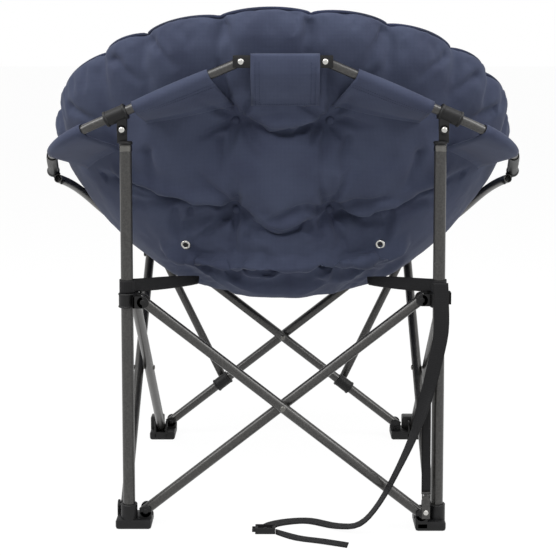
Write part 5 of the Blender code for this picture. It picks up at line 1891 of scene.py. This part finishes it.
@dataclass
class RingCovers(Trade):
    """Cloth that holds the ring: the hub's flap, two back pockets and two arm pockets, all stitched."""

    surface: BVHTree
    cloth: float = 0.0018
    clearance: float = 0.0024
    tuck: float = -2.0
    cast_from: float = 0.5
    fall_reach: float = 1.2
    fall_curve: float = 1.4
    wrap_turns: tuple[float, ...] = tuple(math.radians(turn) for turn in range(-40, 221, 20))
    back_shares: Pair = (0.24, 0.82)
    back_drop: Pair = (0.066, 0.030)
    back_steps: int = 12
    back_rows: int = 25
    back_bulge: float = 0.0016
    back_lean: float = 0.30
    back_seams: tuple[int, ...] = (15, 16)
    arm_points: tuple[int, int] = (3, 13)
    arm_drop: Pair = (0.072, 0.066)
    arm_steps: int = 10
    arm_outward: Triple = (1.0, -0.75, 0.0)
    arm_fall: Triple = (-0.80, 0.0, -0.60)
    arm_seams: tuple[int, ...] = (20, 21)
    flap_side: Pair = (-0.057, 0.065)
    flap_rows: int = 17
    flap_corner: float = 0.004
    flap_cut: float = 0.0012
    flap_half_height: float = 0.0110
    flap_inside: float = 0.010
    flap_leave: float = -0.018
    flap_drop: float = 0.066
    flap_bow: float = 0.0006
    flap_seams: tuple[int, ...] = (1, 2, 14, 15)
    stitch_pitch: float = 0.0042
    stitch_half: Triple = (0.0006, 0.0006, 0.0014)

    def build(self) -> None:
        """Make every cover in place of its solid."""
        self.flap()
        for title, side in SIDES.items():
            self.back_pocket(title, side)
            self.arm_pocket(title, side)

    def sheet(self, node: str, rows: list[list[Vector]], rests: list[str], seams: list[list[Vector]]) -> None:
        """Make one cover.

        Args:
            node: CAD node that it stands for.
            rows: rows of points, from one end of the cover to the other.
            rests: what it lies on; not used.
            seams: lines of stitches, which are drawn on the rear face of the cloth.
        """
        bm = bmesh.new()
        loft(bm, rows)
        area = sum(face.calc_area() for face in bm.faces)
        piece = self.shop.piece(node + "_cover", bm, self.finishes.cloth, node, sharp=80)
        thicken(piece, self.cloth)
        self.stitches(node, seams)

    def stitches(self, node: str, seams: list[list[Vector]]) -> Piece:
        """Sew rows of small stitches along some lines.

        Args:
            node: CAD node that it stands for.
            seams: lines of stitches.

        Returns:
            The stitches as one piece.
        """
        bm = bmesh.new()
        shape = Matrix.Diagonal((*self.stitch_half, 1))
        for seam in seams:
            line = [spot - Y_AXIS * self.cloth for spot in seam]
            length = run_length(line)
            count = max(2, int(length / self.stitch_pitch))
            for number in range(count):
                place = along_matrix(*point_along(line, length * (number + 0.5) / count))
                bmesh.ops.create_icosphere(bm, subdivisions=1, radius=1, matrix=place @ shape)
        return self.shop.piece(node + "_stitches", bm, self.finishes.thread, node, replaces=False)

    def wrap(self, centre: Vector, along: Vector, ahead: Vector, radius: float) -> list[Vector]:
        """Points round a tube, from its front over its top to its back.

        Args:
            centre: middle of the tube.
            along: direction of the tube.
            ahead: direction that counts as its front.
            radius: distance of the points from the middle.

        Returns:
            The points.
        """
        front = (ahead - along * along.dot(ahead)).normalized()
        up = front.cross(along).normalized()
        if up.z < 0:
            up.negate()
        return [centre + (front * math.cos(turn) + up * math.sin(turn)) * radius for turn in self.wrap_turns]

    def fall(self, start: Vector, way: Vector, drop: float, steps: int) -> list[Vector]:
        """Points of cloth that leaves a tube and comes to lie on the cushion's rear face.

        Args:
            start: where it leaves the tube.
            way: direction in which it runs.
            drop: how far it runs.
            steps: number of points.

        Returns:
            The points.
        """
        points = []
        for step in range(1, steps + 1):
            share = step / steps
            spot = start + way * drop * share
            hit = self.surface.ray_cast(spot - Y_AXIS * self.cast_from, Y_AXIS)[0]
            if hit:
                gap = (hit - spot).dot(Y_AXIS) - self.clearance * (1 if step < steps else self.tuck)
                down = min(1.0, share * self.fall_reach) ** self.fall_curve
                spot = spot + Y_AXIS * (gap * down if gap > 0 else gap)
            points.append(spot)
        return points

    def back_pocket(self, title: str, side: int) -> None:
        """Make the pocket over the straight part of one arm.

        Args:
            title: left or right.
            side: -1 for left, 1 for right.
        """
        hub, way, collar = self.plan.arm_line(side)
        first, last = self.back_shares
        down = way.cross(Y_AXIS).normalized()
        if down.z > 0:
            down.negate()
        rows = []
        for number in range(self.back_rows):
            share = number / (self.back_rows - 1)
            centre = hub + way * (collar - hub).length * (first + (last - first) * share)
            radius = self.plan.ring_radius + self.clearance + self.back_bulge * math.sin(math.pi * share)
            ring = self.wrap(centre, way, Y_AXIS, radius)
            drop = self.back_drop[0] + (self.back_drop[1] - self.back_drop[0]) * share
            lean = (down - X_AXIS * side * self.back_lean * (1 - share)).normalized()
            rows.append(ring + self.fall(ring[-1], lean, drop, self.back_steps))
        self.pocket(title, "_back_pocket", rows, self.back_seams)

    def arm_pocket(self, title: str, side: int) -> None:
        """Make the pocket over the bent part of one arm.

        Args:
            title: left or right.
            side: -1 for left, 1 for right.
        """
        path = self.plan.arm_path(side)[slice(*self.arm_points)]
        outward = self.plan.heading(self.arm_outward, side)
        x, y, z = self.arm_fall
        rows = []
        for number, (centre, along) in enumerate(zip(path, neighbour_ways(path))):
            ring = self.wrap(centre, along, -outward, self.plan.ring_radius + self.clearance)
            share = number / (len(path) - 1)
            drop = self.arm_drop[0] + (self.arm_drop[1] - self.arm_drop[0]) * share
            rows.append(ring + self.fall(ring[-1], Vector((x * side, y, z)), drop, self.arm_steps))
        self.pocket(title, "_arm_pocket", rows, self.arm_seams)

    def pocket(self, title: str, kind: str, rows: list[list[Vector]], seams: Sequence[int]) -> None:
        """Make one pocket on an arm, with seams along some columns of its points."""
        lines = [[row[place] for row in rows] for place in seams]
        self.sheet(title + kind, rows, ["cushion", title + "_arm"], lines)

    def flap(self) -> None:
        """Make the flap over the hub."""
        plan = self.plan
        middle = plan.at(0, *plan.hub_pin[1:])
        deep = plan.ring_radius + plan.hub_wall + self.cloth
        tall = self.flap_half_height + self.cloth
        corner, cut, bow = self.flap_corner, self.flap_cut, self.flap_bow
        profile = [(deep, tall - self.flap_inside), (deep, tall - corner), (deep - cut, tall - cut),
                   (deep - corner, tall), (0, tall + bow), (corner - deep, tall), (cut - deep, tall - cut),
                   (-deep, tall - corner), (-deep - bow, 0.0), (-deep, self.flap_leave)]
        left, right = self.flap_side
        rows = []
        for number in range(self.flap_rows):
            x = left + (right - left) * number / (self.flap_rows - 1)
            row = [middle + Vector((x, y, z)) for y, z in profile]
            rows.append(row + self.fall(row[-1], -Z_AXIS, self.flap_drop, 10))
        seams = [rows[place][8:] for place in self.flap_seams] + [[row[-2] for row in rows]]
        self.sheet("hub_flap", rows, ["cushion", "ring_hub"], seams)


@dataclass
class SeatWebbing(Trade):
    """Straps that tie the seat to the rear legs, and the lower strap with its steel tab."""

    surface: BVHTree
    strap_width: float = 0.0240
    strap_thickness: float = 0.0018
    strap_rise: float = 0.0133
    strap_end: float = 0.162
    strap_sink: Pair = (0.0060, 0.019)
    strap_laid: Triple = (0.0, 0.9, 0.35)
    strap_apart: float = 0.0012
    loop: float = 0.0128
    loop_out: float = 0.032
    loop_apart: float = 0.0015
    tab_width: float = 0.0150
    tab_edge: float = 0.0005
    tab_depth: Pair = (-0.0263, -0.0243)
    tab_blocks: tuple[tuple[float, ...], ...] = (  # from and to in X, as shares of the width, and in Z
        (0, 1, 0.0245, 0.0668), (0, 0.16, 0.064, 0.0735), (0.84, 1, 0.064, 0.0735), (0, 1, 0.0712, 0.075))
    tab_rivet: float = 0.036
    tab_head: Pair = (0.0048, 0.0020)
    foot_width: float = 0.0160
    foot_line: tuple[Pair, Pair] = ((-0.0230, 0.0700), (-0.0208, 0.2560))
    foot_shares: tuple[float, ...] = (0.0, 0.33, 0.66, 1.0)

    def build(self) -> None:
        """Make the straps and the tab."""
        for title, side in SIDES.items():
            self.seat_strap(title, side)
        self.foot_strap()
        self.tab()

    def seat_strap(self, title: str, side: int) -> None:
        """Make the strap that goes round one leg and is sewn under the seat.

        Args:
            title: left or right.
            side: -1 for left, 1 for right.
        """
        height = self.plan.high + self.strap_rise + self.strap_width / 2
        leg = self.plan.corner(side, False, height)
        levels = [height + share * self.strap_width for share in (-0.5, 0.0, 0.5)]
        hits = [behind(self.surface, side * self.strap_end, level)[0] for level in levels]
        into, down = self.strap_sink
        end = Vector((side * self.strap_end, min(hit.y for hit in hits if hit) + into, height - down))
        run = (end - leg).normalized()
        beside = Vector((-run.y, run.x, 0)) * self.loop_apart
        heading = math.atan2(run.y, run.x)
        arc = [heading + math.radians(turn) for turn in range(40, 321, 20)]
        loop = [leg + Vector((math.cos(turn), math.sin(turn), 0)) * self.loop for turn in arc]
        laid = Vector(self.strap_laid)
        apart = laid.cross(run).normalized() * self.strap_apart
        out = leg + run * self.loop_out
        line = [out + beside] + loop + [out - beside]
        route = [(end + apart, laid)] + [(spot, Z_AXIS) for spot in line] + [(end - apart, laid)]
        strip = Strip(smooth_route(route, 6), self.strap_width, self.strap_thickness)
        piece = self.webbing(title + "_seat_strap", strip)
        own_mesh(piece)

    def foot_strap(self) -> None:
        """Make the lower strap from the tab up to the carry strap."""
        x = self.plan.half - self.plan.inset + self.tab_width / 2
        low, high = (self.plan.at(x, *place) for place in self.foot_line)
        line = [(low.lerp(high, share), X_AXIS) for share in self.foot_shares]
        self.webbing("foot_strap", Strip(smooth_route(line, 5), self.foot_width))

    def tab(self) -> None:
        """Make the steel tab on the right rear foot, with its slot and rivet."""
        bm = bmesh.new()
        left = self.plan.half - self.plan.inset
        back, front = self.tab_depth
        for x0, x1, z0, z1 in self.tab_blocks:
            rounded_box(bm, [self.plan.at(left + self.tab_width * x0, back, z0),
                             self.plan.at(left + self.tab_width * x1, front, z1)], self.tab_edge)
        self.shop.piece("foot_tab_plate", bm, self.finishes.tube, "foot_tab", slot=Slot.STEEL)
        head = bmesh.new()
        dome(head, self.plan.at(left + self.tab_width / 2, back, self.tab_rivet), -Y_AXIS, *self.tab_head)
        self.shop.piece("foot_tab_rivet", head, self.finishes.steel, "foot_tab", replaces=False)


def main() -> None:
    """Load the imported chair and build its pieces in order."""
    logging.basicConfig(level=logging.INFO, format="%(name)s: %(message)s")
    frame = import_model()
    low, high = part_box("left_rear_leg")
    plan = ChairPlan(rear_y=(low[1] + high[1]) / 2)
    Studio(plan).build()
    kit = Workshop(frame), plan, Finishes()
    for trade in (CarryStrap, TubeFrame, Mouldings, Rivets):
        trade(*kit).build()
    surface = BowlCushion(*kit).build()
    RingCovers(*kit, surface).build()
    SeatWebbing(*kit, surface).build()


if __name__ == "__main__":
    main()
